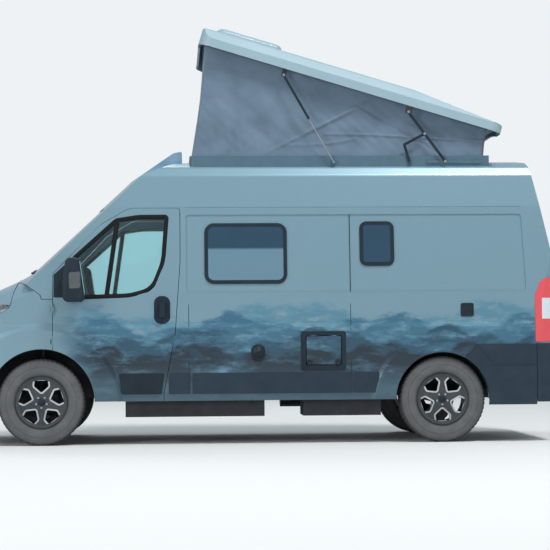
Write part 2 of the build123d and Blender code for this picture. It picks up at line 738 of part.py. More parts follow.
nodes["service_fittings"] = fittings
nodes["hatch_lid"] = lid
hinge_top_z = HATCH_HINGE[1] + BARREL_R + 1
nodes["side_left"] -= block(HATCH_LID[0], HATCH_LID[1], -FAR, -400, HATCH_LID[3], hinge_top_z)

# Floor, rails and what hangs below
floor_low_z = FLOOR_TOP_Z - FLOOR_THICK
toe_half = WELL_INNER_Y - LINER
floor = hull(WALL) & block(-1300, 3 * FAR, -FAR, FAR, floor_low_z, FLOOR_TOP_Z)
floor += hull(WALL) & block(-1680, -1300, -toe_half, toe_half, floor_low_z, FLOOR_TOP_Z)
housing_out = rod_y(REAR_AXLE_X, TYRE_R, REAR_ARCH_R + LINER, -FAR, -REAR_WELL_INNER_Y + LINER)
housing_out &= hull(WALL)
housing_out &= block(-3 * FAR, 3 * FAR, -FAR, 0, floor_low_z, 2 * FAR)
floor = floor + housing_out + mirrored(housing_out)
floor -= rear_wells()
floor -= front_wells()
RAIL_Y = (430, 500)
RAIL_LOW_Z = 390.0
for sign in (-1, 1):
    ys = sorted((sign * RAIL_Y[0], sign * RAIL_Y[1]))
    floor += block(-2480, 2600, ys[0], ys[1], RAIL_LOW_Z, floor_low_z)
floor -= block(REAR_AXLE_X - 90, REAR_AXLE_X + 90, -RAIL_Y[1] - 1, RAIL_Y[1] + 1, 0, AXLE_R + TYRE_R + 12)
floor += block(2540, 2599, -780, 780, RAIL_LOW_Z, floor_low_z)
floor -= rear_bumper
nodes["floor_pan"] = floor

# Tanks under the floor: plan box and lower face of each
TANKS = [(-1043, 154, -940, -505, 236), (490, 1161, -940, -505, 236), (-900, 100, 505, 900, 250)]
underfloor = block(*TANKS[0], floor_low_z)
underfloor += block(*TANKS[1], floor_low_z)
underfloor += block(*TANKS[2], floor_low_z)
underfloor += Pos(700, 720, 380) * Rot(0, 90, 0) * Cylinder(119.9, 640)
nodes["underfloor_units"] = underfloor

subframe = block(-1960, -1560, -RAIL_Y[0], RAIL_Y[0], LOWER_ARM[0], RAIL_LOW_Z)
arm_ends = (FRONT_AXLE_X - LOWER_ARM_HALF, FRONT_AXLE_X + LOWER_ARM_HALF)
half_frame = block(*arm_ends, -STEER_Y - 15, -400, *LOWER_ARM)
spring = rod_z(FRONT_AXLE_X, -705, 26, LOWER_ARM[0], TYRE_R + FRONT_ARCH_R)
half_frame += spring & rod_y(FRONT_AXLE_X, TYRE_R, FRONT_ARCH_R, -FAR, FAR)
nodes["front_subframe"] = subframe + half_frame + mirrored(half_frame)
nodes["engine_block"] = block(-2330, -1790, -330, 330, RAIL_LOW_Z, 980)

rear_axle = rod_y(REAR_AXLE_X, TYRE_R, AXLE_R, -760, 760)
# Leaf spring in side view: X, Z and corner radius
LEAF = [
    (1176, 440, 0),
    (1690, 405, 900),
    (2270, 440, 0),
    (2270, 452, 0),
    (1690, 420, 900),
    (1176, 452, 0),
]
hub_end_y = REAR_WHEEL_Y + HUB_BACK - SEAL
for sign in (-1, 1):
    rear_axle += rod_y(REAR_AXLE_X, TYRE_R, 70, *sorted((sign * 720, sign * hub_end_y)))
    leaf = prism_y(LEAF, *sorted((sign * 530, sign * 600)))
    leaf += block(1174, 1214, *sorted((sign * 500, sign * 600)), 440, 500)
    leaf += block(2230, 2272, *sorted((sign * 500, sign * 600)), 440, 500)
    rear_axle += leaf
nodes["rear_axle"] = rear_axle


# Wheels
def tyre_section():
    half = TYRE_WIDTH / 2
    side = TYRE_R - RIM_SEAT_R
    return [
        (RIM_SEAT_R, -half + 19, 0),
        (RIM_FLANGE_R + 1.5, -half + 19, 0),
        (RIM_SEAT_R + side * 0.45, -half, 60),
        (TYRE_R - 12, -half + 12, 18),
        (TYRE_R, -half + 34, 0),
        (TYRE_R, half - 34, 0),
        (TYRE_R - 12, half - 12, 18),
        (RIM_SEAT_R + side * 0.45, half, 60),
        (RIM_FLANGE_R + 1.5, half - 19, 0),
        (RIM_SEAT_R, half - 19, 0),
    ]


def revolved(corners):
    """Half-section (radius, along Y, corner radius) turned about the Y axis."""
    face = outline(corners)
    return revolve(face, axis=Axis.Y)


def wheel_tyre():
    tyre = revolved(tyre_section())
    for offset in (-50, 0, 50):
        tyre -= revolved(rectangle(TYRE_R - 8, TYRE_R + 5, offset - 5, offset + 5))
    return tyre


def wheel_rim():
    """Rim whose outer face looks towards -Y."""
    half = TYRE_WIDTH / 2
    seat = RIM_SEAT_R - SEAL
    rim = revolved([
        (RIM_SEAT_R - RIM_WALL, -half + 6, 0),
        (RIM_FLANGE_R, -half + 6, 0),
        (RIM_FLANGE_R, -half + 13.5, 0),
        (seat, -half + 18, 0),
        (seat, half - 18, 0),
        (RIM_FLANGE_R, half - 13.5, 0),
        (RIM_FLANGE_R, half - 6, 0),
        (RIM_SEAT_R - RIM_WALL, half - 6, 0),
    ])
    face_y = -half + 14
    disc = revolved([
        (0, face_y + 22, 0),
        (HUB_R, face_y + 22, 0),
        (RIM_SEAT_R - 5, face_y, 0),
        (RIM_SEAT_R - 5, face_y + 30, 0),
        (HUB_R + 20, face_y + 52, 0),
        (0, face_y + 52, 0),
    ])
    # Openings between the spokes. Columns: radius from the centre, sideways, corner radius.
    window = [(82, 0, 12), (138, 62, 14), (186, 56, 8), (186, -56, 8), (138, -62, 14)]
    for i in range(SPOKES):
        angle = 90 + (i + 0.5) * 360 / SPOKES
        cut = prism_y(window, face_y - 30, face_y + 80)
        disc -= Rot(0, -angle, 0) * cut
    rim += disc
    hub = revolved([(0, face_y + 50, 0), (HUB_R, face_y + 50, 0), (HUB_R, -HUB_BACK, 0), (0, -HUB_BACK, 0)])
    rim += hub
    return rim


tyre = wheel_tyre()
rim = wheel_rim()
# Columns: name, axle x, wheel centre y, angle the wheel stands at
WHEELS = [
    ("front", FRONT_AXLE_X, FRONT_WHEEL_Y, 180 / SPOKES),
    ("rear", REAR_AXLE_X, REAR_WHEEL_Y, 0),
]
for name, x, y, turn in WHEELS:
    left_tyre = Pos(x, -y, TYRE_R) * tyre
    left_rim = Pos(x, -y, TYRE_R) * Rot(0, turn, 0) * rim
    nodes["tyre_" + name + "_left"] = left_tyre
    nodes["tyre_" + name + "_right"] = mirrored(left_tyre)
    nodes["rim_" + name + "_left"] = left_rim
    nodes["rim_" + name + "_right"] = mirrored(left_rim)

hub_face = FRONT_WHEEL_Y + HUB_BACK - SEAL
knuckle = rod_y(FRONT_AXLE_X, TYRE_R, 48, -hub_face, -762)
knuckle += rod_y(FRONT_AXLE_X, TYRE_R, BRAKE_R, -hub_face + 8, -hub_face + 34)
caliper = block(80, 130, -hub_face + 2, -hub_face + 50, TYRE_R - 60, TYRE_R + 60)
knuckle += Pos(FRONT_AXLE_X, 0, 0) * caliper
knuckle += rod_z(FRONT_AXLE_X, -STEER_Y, 16, LOWER_ARM[1] + SEAL, TYRE_R)
nodes["knuckle_left"] = knuckle
nodes["knuckle_right"] = mirrored(knuckle)

# Cab inside
DASH = [
    (-1660, 1000, 0),
    (-1690, 1330, 30),
    (-1560, 1345, 60),
    (-1400, 1290, 60),
    (-1370, 1120, 60),
    (-1470, 900, 60),
]
dash = across(DASH) & cabin(WALL + 4)
dash += block(-1681, -1640, -700, 700, 1010, 1320) & cabin(WALL)
WHEEL_CENTRE = (-1235, -480, 1130)
steering = Torus(185, 14) + Cylinder(48, 30)
for angle in (0, 120, 240):
    steering += Rot(0, 0, angle - 90) * (Pos(100, 0, 0) * Box(170, 26, 14))
steering += Pos(0, 0, -110) * Cylinder(32, 210)
dash += Pos(*WHEEL_CENTRE) * Rot(0, 62, 0) * steering
nodes["dashboard"] = dash - nodes["cab_frame"] - nodes["front_bulkhead"]

SEAT_Y = 480.0
seat_base = block(-1120, -720, -SEAT_Y - 200, -SEAT_Y + 200, FLOOR_TOP_Z, 800)
SEAT_PAD = [(-1190, 800 + SEAL, 30), (-1190, 900, 40), (-700, 880, 40), (-690, 800 + SEAL, 30)]
seat_pad = prism_y(SEAT_PAD, -SEAT_Y - 245, -SEAT_Y + 245)
SEAT_BACK = [(-715, 840, 40), (-590, 1440, 50), (-490, 1430, 40), (-590, 830, 40)]
SEAT_HEAD = [(-590, 1480, 30), (-565, 1640, 40), (-490, 1630, 30), (-505, 1470, 30)]
seat_back = prism_y(SEAT_BACK, -SEAT_Y - 235, -SEAT_Y + 235)
seat_head = prism_y(SEAT_HEAD, -SEAT_Y - 130, -SEAT_Y + 130)
nodes["seat_bases"] = seat_base + mirrored(seat_base)
cushions = seat_pad + seat_back + seat_head
for post_y in (-SEAT_Y - 54, -SEAT_Y + 54):
    cushions += block(-548, -536, post_y - 6, post_y + 6, 1400, 1500)
nodes["cab_seats"] = cushions + mirrored(cushions)

# Living space
bench = block(-480, -90, -FAR, -330, FLOOR_TOP_Z, 930) & hull(WALL)
table = block(-20, 330, -FAR, -330, 1210, 1240) & hull(WALL + 2 * GAP)
table += block(130, 170, -640, -600, FLOOR_TOP_Z, 1210)
wet_room = block(470, 1180, -FAR, -230, FLOOR_TOP_Z, 2000) & hull(WALL)
wet_room -= block(490, 1160, -FAR, -250, FLOOR_TOP_Z + 450, 1980)
wet_room -= block(490, 850, -FAR, -600, 630, 960)
kitchen = block(250, 1180, 420, FAR, FLOOR_TOP_Z, 1420) & hull(WALL)
kitchen -= block(240, 770, 870, FAR, 0, 2 * FAR)
bed_base = block(1200, 2540, -FAR, FAR, 1000, 1030) & hull(WALL)
bed_base += block(1200, 1230, -700, 700, FLOOR_TOP_Z, 1000)
nodes["camper_furniture"] = bench + table + wet_room + kitchen + bed_base
mattress = block(1235, 2520, -FAR, FAR, 1030 + SEAL, 1170) & hull(WALL + 12)
mattress = mattress + (block(-470, -100, -890, -345, 930 + SEAL, 1040))
mattress += block(-480, -370, -890, -345, 1040 + SEAL, 1500) & hull(WALL + 10)
nodes["cushions"] = mattress

# Pop-up roof, drawn closed
POP_SIDE = [
    (POP_FRONT_X - PLAN_OVER, POP_BOTTOM_Z, 0),
    (POP_FRONT_X - PLAN_OVER, POP_BOTTOM_Z + 148, 30),
    (POP_FRONT_X + 330, POP_BOTTOM_Z + POP_HEIGHT, 400),
    (700, POP_BOTTOM_Z + POP_HEIGHT + 1, 900),
    (1400, POP_BOTTOM_Z + 160, 500),
    (2000, POP_BOTTOM_Z + 97, 300),
    (POP_REAR_X + PLAN_OVER, POP_BOTTOM_Z + 74, 30),
    (POP_REAR_X + PLAN_OVER, POP_BOTTOM_Z, 0),
]
POP_SECTION = [
    (POP_HALF_WIDTH + PLAN_OVER, POP_BOTTOM_Z, 0),
    (POP_HALF_WIDTH + PLAN_OVER, POP_BOTTOM_Z + 68, 16),
    (POP_HALF_WIDTH - 62, POP_BOTTOM_Z + POP_SHOULDER, 50),
    (200, POP_BOTTOM_Z + POP_HEIGHT + 8, 600),
]
POP_PLAN = rectangle(POP_FRONT_X, POP_REAR_X, -POP_HALF_WIDTH, POP_HALF_WIDTH, 110)


def pop_solid(inset, drop):
    side = [(x, z - drop if z == POP_BOTTOM_Z else z, radius) for x, z, radius in POP_SIDE]
    half = [(z - drop if z == POP_BOTTOM_Z else z, y, radius) for y, z, radius in POP_SECTION]
    section = [(across_y, up, radius) for up, across_y, radius in both_halves(half)]
    solid = prism_y(inset_corners(side, inset), -FAR, FAR)
    solid &= prism_x(inset_corners(section, inset), -2 * FAR, 2 * FAR)
    solid &= prism_z(inset_corners(POP_PLAN, inset), 0, 3 * FAR)
    return solid


def opened(part, degrees=ROOF_OPEN_DEG):
    """Turns a piece of the closed roof up about the hinge line behind the tail."""
    there = Pos(ROOF_HINGE_X, 0, ROOF_HINGE_Z)
    back = Pos(-ROOF_HINGE_X, 0, -ROOF_HINGE_Z)
    return there * Rot(0, degrees, 0) * back * part


def opened_point(point):
    """Place of a point of the closed roof when it is open, in side view."""
    angle = math.radians(ROOF_OPEN_DEG)
    dx = point[0] - ROOF_HINGE_X
    dz = point[1] - ROOF_HINGE_Z
    x = ROOF_HINGE_X + dx * math.cos(angle) + dz * math.sin(angle)
    z = ROOF_HINGE_Z - dx * math.sin(angle) + dz * math.cos(angle)
    return x, z


# Planes of the three links, from the middle of the vehicle outwards
FOOT_PLANE = (-LINK_Y - LINK_THICK, -LINK_Y)
KNEE_PLANE = (-LINK_Y - LINK_STEP - LINK_THICK, -LINK_Y - LINK_STEP)
ARM_PLANE = (-LINK_Y - 2 * LINK_STEP - LINK_THICK, -LINK_Y - 2 * LINK_STEP)
RAIL_FACE_Y = -LINK_Y + SEAL

shell = pop_solid(0, 0) - pop_solid(POP_SKIN, FAR) - hull(-2 * GAP)
arm_x, arm_z = ARM_TOP_CLOSED
lug = block(arm_x - LUG_HALF, arm_x + LUG_HALF, -846, -840, arm_z - 14, POP_BOTTOM_Z + 30)
lug += rod_y(arm_x, arm_z, PIN_R, -840, ARM_PLANE[1])
strut_x, strut_z = STRUT_TOP_CLOSED
lug_low = -STRUT_Y + STRUT_TUBE_R + 1
lug += block(strut_x - 20, strut_x + 20, lug_low, lug_low + LUG_THICK, strut_z - 12, POP_BOTTOM_Z + 30)
lug_foot = (-POP_HALF_WIDTH + 10, lug_low + LUG_THICK, POP_BOTTOM_Z + 4, POP_BOTTOM_Z + 30)
lug += block(strut_x - 20, strut_x + 20, *lug_foot)
lug += rod_y(strut_x, strut_z, PIN_R - 1, -STRUT_Y, lug_low)
shell = shell + lug + mirrored(lug)
nodes["pop_roof_shell"] = opened(shell)

dome = block(*VENT, POP_BOTTOM_Z + POP_HEIGHT - 30, POP_BOTTOM_Z + POP_HEIGHT + VENT_HEIGHT)
dome = fillet(dome.edges().filter_by(Axis.Z), 70)
dome = fillet(dome.faces().sort_by(Axis.Z)[-1].edges(), 50)
nodes["roof_vent"] = opened(dome - pop_solid(0, 0))

ring = base_block - block(OPENING[0], OPENING[1], OPENING[2], OPENING[3], 2300, 2600)
ring -= roof
ring -= hull(30)
rail = block(1600, 2080, RAIL_FACE_Y, -BASE_HALF_WIDTH, 2430, BRACKET_TOP_Z)
bracket = block(KNEE_FOOT[0] - 18, KNEE_FOOT[0] + 18, RAIL_FACE_Y, -BASE_HALF_WIDTH, 2420, BRACKET_TOP_Z)
bracket += rod_y(*KNEE_FOOT, PIN_R, FOOT_PLANE[0], RAIL_FACE_Y)
strut_face_y = -STRUT_Y + PIN_R + SEAL
strut_bracket = block(-18, 18, strut_face_y, -BASE_HALF_WIDTH, 2424, BRACKET_TOP_Z)
strut_bracket = Pos(STRUT_FOOT[0], 0, 0) * strut_bracket
fixed_feet = rail + bracket + strut_bracket
nodes["roof_base_frame"] = ring + fixed_feet + mirrored(fixed_feet)

top_front = opened_point((TENT_TOP_FRONT_X, POP_BOTTOM_Z + 30))
top_rear = opened_point((TENT_TOP_REAR_X, POP_BOTTOM_Z + 30))
TENT = [
    (-467, BASE_TOP_Z + SEAL, 0),
    (top_front[0], top_front[1], 0),
    (top_rear[0], top_rear[1], 0),
    (2113, BASE_TOP_Z + SEAL, 0),
]
tent = prism_y(TENT, -TENT_HALF_WIDTH, TENT_HALF_WIDTH)
slots = inset_corners(TENT, TENT_WALL)
# The room inside the tent, drawn on past the cloth's open ends by this length
TENT_PAST = 300.0
front_lean = TENT_PAST * (slots[1][0] - slots[0][0]) / (slots[1][1] - slots[0][1])
inner = [
    (slots[0][0] - front_lean, slots[0][1] - TENT_PAST, 0),
    (slots[1][0] + front_lean, slots[1][1] + TENT_PAST, 0),
    (slots[2][0], slots[2][1] + TENT_PAST, 0),
    (slots[3][0], slots[3][1] - TENT_PAST, 0),
]
tent -= prism_y(inner, -TENT_HALF_WIDTH + TENT_WALL, TENT_HALF_WIDTH - TENT_WALL)
nodes["tent_fabric"] = tent


# Struts and lift arms
def bar(start, end, low_y, high_y, width):
    """Flat link with round ends between two pins, in side view."""
    dx = end[0] - start[0]
    dz = end[1] - start[1]
    length = math.hypot(dx, dz)
    half = width / 2
    link = prism_y(rectangle(-half, length + half, -half, half, half - 0.01), low_y, high_y)
    return Pos(start[0], 0, start[1]) * Rot(0, -math.degrees(math.atan2(dz, dx)), 0) * link


def tube_between(start, end, y, radius):
    """Round bar in side view between two points."""
    dx = end[0] - start[0]
    dz = end[1] - start[1]
    length = math.hypot(dx, dz)
    bar_x = Pos(length / 2, 0, 0) * Rot(0, 90, 0) * Cylinder(radius, length)
    return Pos(start[0], y, start[1]) * Rot(0, -math.degrees(math.atan2(dz, dx)), 0) * bar_x


def along(start, end, distance):
    """Point on the line from start to end."""
    length = math.hypot(end[0] - start[0], end[1] - start[1])
    share = distance / length
    return start[0] + (end[0] - start[0]) * share, start[1] + (end[1] - start[1]) * share


arm_top = opened_point(ARM_TOP_CLOSED)
arm_drop = arm_top[1] - RAIL_PIN_Z
arm_foot = (arm_top[0] + math.sqrt(ARM_LENGTH**2 - arm_drop**2), RAIL_PIN_Z)
knee = along(arm_top, arm_foot, KNEE_SHARE * ARM_LENGTH)
knee_top = (KNEE_FOOT[0] + KNEE_LENGTH * math.cos(math.radians(KNEE_LEAN_DEG)),
            KNEE_FOOT[1] + KNEE_LENGTH * math.sin(math.radians(KNEE_LEAN_DEG)))
PIN_HOLE_R = PIN_R + SEAL
lift_arm = bar(arm_top, arm_foot, *ARM_PLANE, LINK_WIDTH)
lift_arm -= rod_y(*arm_top, PIN_HOLE_R, *ARM_PLANE)
lift_arm -= rod_y(*knee, PIN_HOLE_R, *ARM_PLANE)
lift_arm += rod_y(*arm_foot, PIN_R, ARM_PLANE[0], -LINK_Y)
nodes["lift_arms"] = lift_arm + mirrored(lift_arm)
knee_link = bar(knee, knee_top, *KNEE_PLANE, LINK_WIDTH)
knee_link += rod_y(*knee, PIN_R, ARM_PLANE[0], KNEE_PLANE[1])
nodes["knee_links"] = knee_link + mirrored(knee_link)
foot_link = bar(KNEE_FOOT, knee_top, *FOOT_PLANE, LINK_WIDTH)
foot_link -= rod_y(*KNEE_FOOT, PIN_HOLE_R, *FOOT_PLANE)
foot_link += rod_y(*knee_top, PIN_R, KNEE_PLANE[1] + SEAL, FOOT_PLANE[1])
nodes["foot_links"] = foot_link + mirrored(foot_link)

strut_top = opened_point(STRUT_TOP_CLOSED)
tube_end = along(strut_top, STRUT_FOOT, STRUT_TUBE_LENGTH)
rod_start = along(strut_top, STRUT_FOOT, STRUT_TUBE_LENGTH - 20)
tube = tube_between(strut_top, tube_end, -STRUT_Y, STRUT_TUBE_R)
bore_start = along(strut_top, STRUT_FOOT, 30)
bore_end = along(strut_top, STRUT_FOOT, STRUT_TUBE_LENGTH + 10)
tube -= tube_between(bore_start, bore_end, -STRUT_Y, STRUT_ROD_R + STRUT_BORE_CLEARANCE)
tube += rod_y(*strut_top, STRUT_TUBE_R, -STRUT_Y - STRUT_TUBE_R, -STRUT_Y + STRUT_TUBE_R)
tube -= rod_y(*strut_top, PIN_R - 1 + SEAL, -STRUT_Y, -STRUT_Y + STRUT_TUBE_R)
nodes["strut_tubes"] = tube + mirrored(tube)
rod = tube_between(rod_start, STRUT_FOOT, -STRUT_Y, STRUT_ROD_R)
rod += rod_y(*STRUT_FOOT, PIN_R + 3, -STRUT_Y - PIN_R, -STRUT_Y + PIN_R)
nodes["strut_rods"] = rod + mirrored(rod)

os.makedirs("parts", exist_ok=True)
for name, part in nodes.items():
    export_step(part, "parts/" + name + ".step")
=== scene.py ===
import json
import math
import bmesh
import bpy
import numpy as np
from mathutils import Matrix, Vector


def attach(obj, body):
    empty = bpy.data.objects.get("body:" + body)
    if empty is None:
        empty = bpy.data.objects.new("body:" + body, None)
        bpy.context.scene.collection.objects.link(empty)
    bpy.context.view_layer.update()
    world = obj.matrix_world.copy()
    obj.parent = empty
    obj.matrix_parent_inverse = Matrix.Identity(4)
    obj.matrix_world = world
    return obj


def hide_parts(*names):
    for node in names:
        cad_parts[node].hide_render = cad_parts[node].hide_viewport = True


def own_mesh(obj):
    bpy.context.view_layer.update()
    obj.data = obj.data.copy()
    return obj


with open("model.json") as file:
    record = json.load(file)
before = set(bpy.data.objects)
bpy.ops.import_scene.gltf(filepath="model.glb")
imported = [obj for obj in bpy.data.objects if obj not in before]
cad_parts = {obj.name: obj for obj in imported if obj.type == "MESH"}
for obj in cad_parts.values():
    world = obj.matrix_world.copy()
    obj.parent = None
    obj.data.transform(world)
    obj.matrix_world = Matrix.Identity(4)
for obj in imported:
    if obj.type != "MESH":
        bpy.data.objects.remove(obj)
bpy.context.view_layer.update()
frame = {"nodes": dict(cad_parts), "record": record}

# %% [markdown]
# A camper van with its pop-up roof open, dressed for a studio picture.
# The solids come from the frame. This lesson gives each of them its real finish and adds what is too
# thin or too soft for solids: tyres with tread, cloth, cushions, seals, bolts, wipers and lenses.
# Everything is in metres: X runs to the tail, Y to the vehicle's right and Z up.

# %% [markdown]
# Every new piece is one or more grids of points. A grid is a function of two parameters, such as the
# angle round a wheel and the place along its section, worked out as whole arrays.


# %% A piece from grids of points
def in_scene(name, data):
    """Object at the origin, linked to the scene."""
    obj = bpy.data.objects.new(name, data)
    bpy.context.scene.collection.objects.link(obj)
    return obj


def piece(name, grids, body, material, smooth=True):
    """Mesh from a list of (points, wrap_first, wrap_second, capped).

    Point (i, j) is joined to (i + 1, j) and (i, j + 1). A wrapped direction joins its last row to its
    first. A capped grid that wraps only its second direction gets a flat end on both open rows.
    """
    vertices, faces, start = [], [], 0
    for points, wrap_first, wrap_second, capped in grids:
        rows, columns = points.shape[:2]
        index = start + np.arange(rows * columns).reshape(rows, columns)
        if wrap_first:
            index = np.vstack([index, index[:1]])
        if wrap_second:
            index = np.hstack([index, index[:, :1]])
        quads = np.stack([index[:-1, :-1], index[1:, :-1], index[1:, 1:], index[:-1, 1:]], -1).reshape(-1, 4)
        faces += quads.tolist()
        if capped:
            faces += [index[0, :columns][::-1].tolist(), index[rows - 1, :columns].tolist()]
        vertices.append(points.reshape(-1, 3))
        start += rows * columns
    mesh = bpy.data.meshes.new(name)
    mesh.from_pydata(np.vstack(vertices).tolist(), [], faces)
    closed = all(first or capped for _, first, second, capped in grids)
    if closed:
        shell = bmesh.new()
        shell.from_mesh(mesh)
        bmesh.ops.recalc_face_normals(shell, faces=shell.faces)
        shell.to_mesh(mesh)
        shell.free()
    mesh.polygons.foreach_set("use_smooth", [smooth] * len(mesh.polygons))
    obj = in_scene(name, mesh)
    mesh.materials.append(material)
    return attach(obj, body)


# %% Shapes that pieces share
def turned(profile, centre, axis, steps=32):
    """Profile of (radius, height) pairs turned about an axis: each point goes round a circle of its radius,
    in the plane across the axis, at its height along it. The profile starts and ends near the axis."""
    axis = np.array(Vector(axis).normalized())
    side = np.array(Vector(axis).orthogonal().normalized())
    other = np.cross(axis, side)
    angle = np.linspace(0, 2 * np.pi, steps, endpoint=False)
    ring = np.cos(angle)[:, None] * side + np.sin(angle)[:, None] * other
    radius, height = np.array(profile, float).T
    points = radius[:, None, None] * ring + height[:, None, None] * axis + np.array(centre, float)
    return points, False, True, True


def swept(path, section, up, closed=False):
    """Section of (across, out) pairs carried along a path. At each path point the across direction is square
    to the path and to the outward direction up, so the point is path + across * width + out * height."""
    path, section = np.array(path, float), np.array(section, float)
    up = np.broadcast_to(np.array(up, float), path.shape)
    if closed:
        along = np.roll(path, -1, 0) - np.roll(path, 1, 0)
    else:
        along = np.gradient(path, axis=0)
    across = np.cross(along, up)
    across /= np.linalg.norm(across, axis=1)[:, None]
    out = np.cross(across, along)
    out /= np.linalg.norm(out, axis=1)[:, None]
    points = path[:, None] + section[None, :, :1] * across[:, None] + section[None, :, 1:] * out[:, None]
    return points, closed, True, not closed


def ring_section(radius, steps=10):
    """Circle as (across, out) pairs: the radius times the cosine and sine of an even angle."""
    angle = np.linspace(0, 2 * np.pi, steps, endpoint=False)
    return np.stack([radius * np.cos(angle), radius * np.sin(angle)], -1)


def strip_section(width, height, sink=0.002):
    """Flat strip with eased edges, sunk a little into what carries it."""
    half, ease = width / 2, min(width, height) * 0.3
    return [(-half, -sink), (half, -sink), (half, height - ease), (half - ease, height),
            (-half + ease, height), (-half, height - ease)]


def rectangle(low_u, high_u, low_v, high_v, radius):
    """Corners of a rectangle as (u, v, radius), all with the same radius."""
    places = ((low_u, low_v), (high_u, low_v), (high_u, high_v), (low_u, high_v))
    return [(u, v, radius) for u, v in places]


def rounded(corners, steps=7):
    """Closed line through corners of (u, v, radius): each corner becomes an arc that touches both sides."""
    corners = np.array(corners, float)
    out = []
    for k in range(len(corners)):
        here, radius = corners[k, :2], corners[k, 2]
        before, after = corners[k - 1, :2] - here, corners[(k + 1) % len(corners), :2] - here
        before, after = before / np.linalg.norm(before), after / np.linalg.norm(after)
        half = math.acos(np.clip(before @ after, -1, 1)) / 2
        reach = radius / math.tan(half)
        t = np.linspace(0, 1, steps)[:, None]
        # A quadratic arc between the two touching points is within a fraction of a millimetre of the circle
        start, end = here + before * reach, here + after * reach
        out.append((1 - t) ** 2 * start + 2 * t * (1 - t) * here + t**2 * end)
    return np.vstack(out)


def dense(line, step=0.03, closed=True):
    """The same line with points at an even spacing, so that it can follow a curved surface."""
    line = np.vstack([line, line[:1]]) if closed else np.array(line, float)
    run = np.r_[0, np.cumsum(np.linalg.norm(np.diff(line, axis=0), axis=1))]
    count = max(int(run[-1] / step), 8)
    at = np.linspace(0, run[-1], count, endpoint=not closed)
    return np.stack([np.interp(at, run, line[:, k]) for k in range(line.shape[1])], -1)


# Half width of the body against height: the same corners as the solids have
FLANK = [(0.965, 0.0), (1.012, 0.56), (1.022, 0.93), (1.025, 1.0), (1.013, 1.036), (1.0085, 1.18),
         (1.001, 1.32), (0.985, 1.48), (0.932, 2.0), (0.929, 2.038), (0.898, 2.18), (0.868, 2.321)]
FLANK_Y, FLANK_Z = np.array(FLANK).T
SIDES = (("left", -1), ("right", 1))
# Axle's X, middle of the wheel from the centre line, and the angle of the rim's first opening in degrees
AXLES = {"front": (-1.7585, 0.905, 18), "rear": (1.6915, 0.895, 54)}
WHEEL_Z = 0.371
# Columns: name, axle's X, wheel's place, first opening, sign of the side
WHEELS = [(f"{axle}_{side}", *place, sign) for axle, place in AXLES.items() for side, sign in SIDES]
# The roof turns about this line, and its closed shell ends at this height
HINGE_X, HINGE_Z, ROOF_SWING = 3.020, 2.585, math.radians(16.66)
SHELL_EDGE_Z = 2.4665


def on_flank(xz, side, proud=0.0):
    """Side-view points set on the body's flank: Y is the half width at that height plus how far the
    point stands out."""
    xz = np.array(xz, float)
    y = side * (np.interp(xz[:, 1], FLANK_Z, FLANK_Y) + proud)
    return np.stack([xz[:, 0], y, xz[:, 1]], -1)


# %% [markdown]
# Materials are node trees. One function turns a screen colour into the linear numbers that a renderer
# works with, one starts a material, and one adds a node with its settings and links. The others feed the
# shader and mix two tones.


# %% Helpers for materials
def linear(code):
    """Six-digit sRGB colour as linear red, green, blue and alpha."""
    value = np.array([int(code[k : k + 2], 16) for k in (1, 3, 5)]) / 255
    value = np.where(value <= 0.04045, value / 12.92, ((value + 0.055) / 1.055) ** 2.4)
    return (*value.tolist(), 1.0)


def start_material(name, colour, roughness, **sockets):
    """Material with one shader. Further sockets are named with underscores for spaces."""
    material = bpy.data.materials.new(name)
    material.use_nodes = True
    shader = material.node_tree.nodes["Principled BSDF"]
    shader.inputs["Base Color"].default_value = linear(colour)
    shader.inputs["Roughness"].default_value = roughness
    for key, value in sockets.items():
        shader.inputs[key.replace("_", " ")].default_value = value
    material.diffuse_color = linear(colour)
    return material


def add(tree, kind, links=(), values=(), **settings):
    """One node: settings are its own options, values its socket numbers and links what feeds its sockets."""
    node = tree.nodes.new("ShaderNode" + kind)
    for key, value in settings.items():
        setattr(node, key, value)
    for key, value in dict(values).items():
        node.inputs[key].default_value = value
    for key, socket in dict(links).items():
        tree.links.new(socket, node.inputs[key])
    return node


def patterned(name, colour, roughness, **sockets):
    """Material that takes a pattern, with its node tree and the places on the object."""
    material = start_material(name, colour, roughness, **sockets)
    tree = material.node_tree
    return material, tree, add(tree, "TexCoord").outputs["Object"]


def wire(tree, relief=None, **sockets):
    """Feed the shader's sockets. Relief is a height with the strength and the depth in metres of its bump."""
    if relief:
        height, strength, depth = relief
        bump = add(tree, "Bump", {"Height": height}, {"Strength": strength, "Distance": depth})
        sockets["Normal"] = bump.outputs["Normal"]
    for key, socket in sockets.items():
        tree.links.new(socket, tree.nodes["Principled BSDF"].inputs[key.replace("_", " ")])


def per_metre(millimetres):
    """Noise scale that gives features of this size, in millimetres."""
    return 1000.0 / millimetres


def two_tone(tree, where, dark, light, millimetres, detail, **noise):
    """Uneven colour: noise with clouds of this size in millimetres mixes two tones."""
    values = {"Scale": per_metre(millimetres), "Detail": detail, **noise}
    clouds = add(tree, "TexNoise", {"Vector": where}, values)
    return add(tree, "Mix", {"Factor": clouds.outputs["Fac"]}, {"A": linear(dark), "B": linear(light)},
               data_type="RGBA").outputs["Result"]


# %% [markdown]
# The body is sprayed metallic lacquer: a grey teal base with fine flakes under a clear coat. The lower
# sides carry a printed wash of rolling swell in navy and teal. Each band's upper edge is the sum of two
# long waves of the length, so it rolls and never comes to a point, and drifting mist mottles it.

# %% Body lacquer and its wash of mist bands
lacquer, tree, where = patterned("grey_teal_metallic_lacquer", "#7f9fac", 0.34, Metallic=0.25,
                                 Coat_Weight=0.6, Coat_Roughness=0.08)
length, across, height = add(tree, "SeparateXYZ", {"Vector": where}).outputs
# Flakes are tens of microns wide; they are drawn at 5 mm so that they show
colour = two_tone(tree, where, "#6d8d9b", "#7c9caa", 5, 3.0)

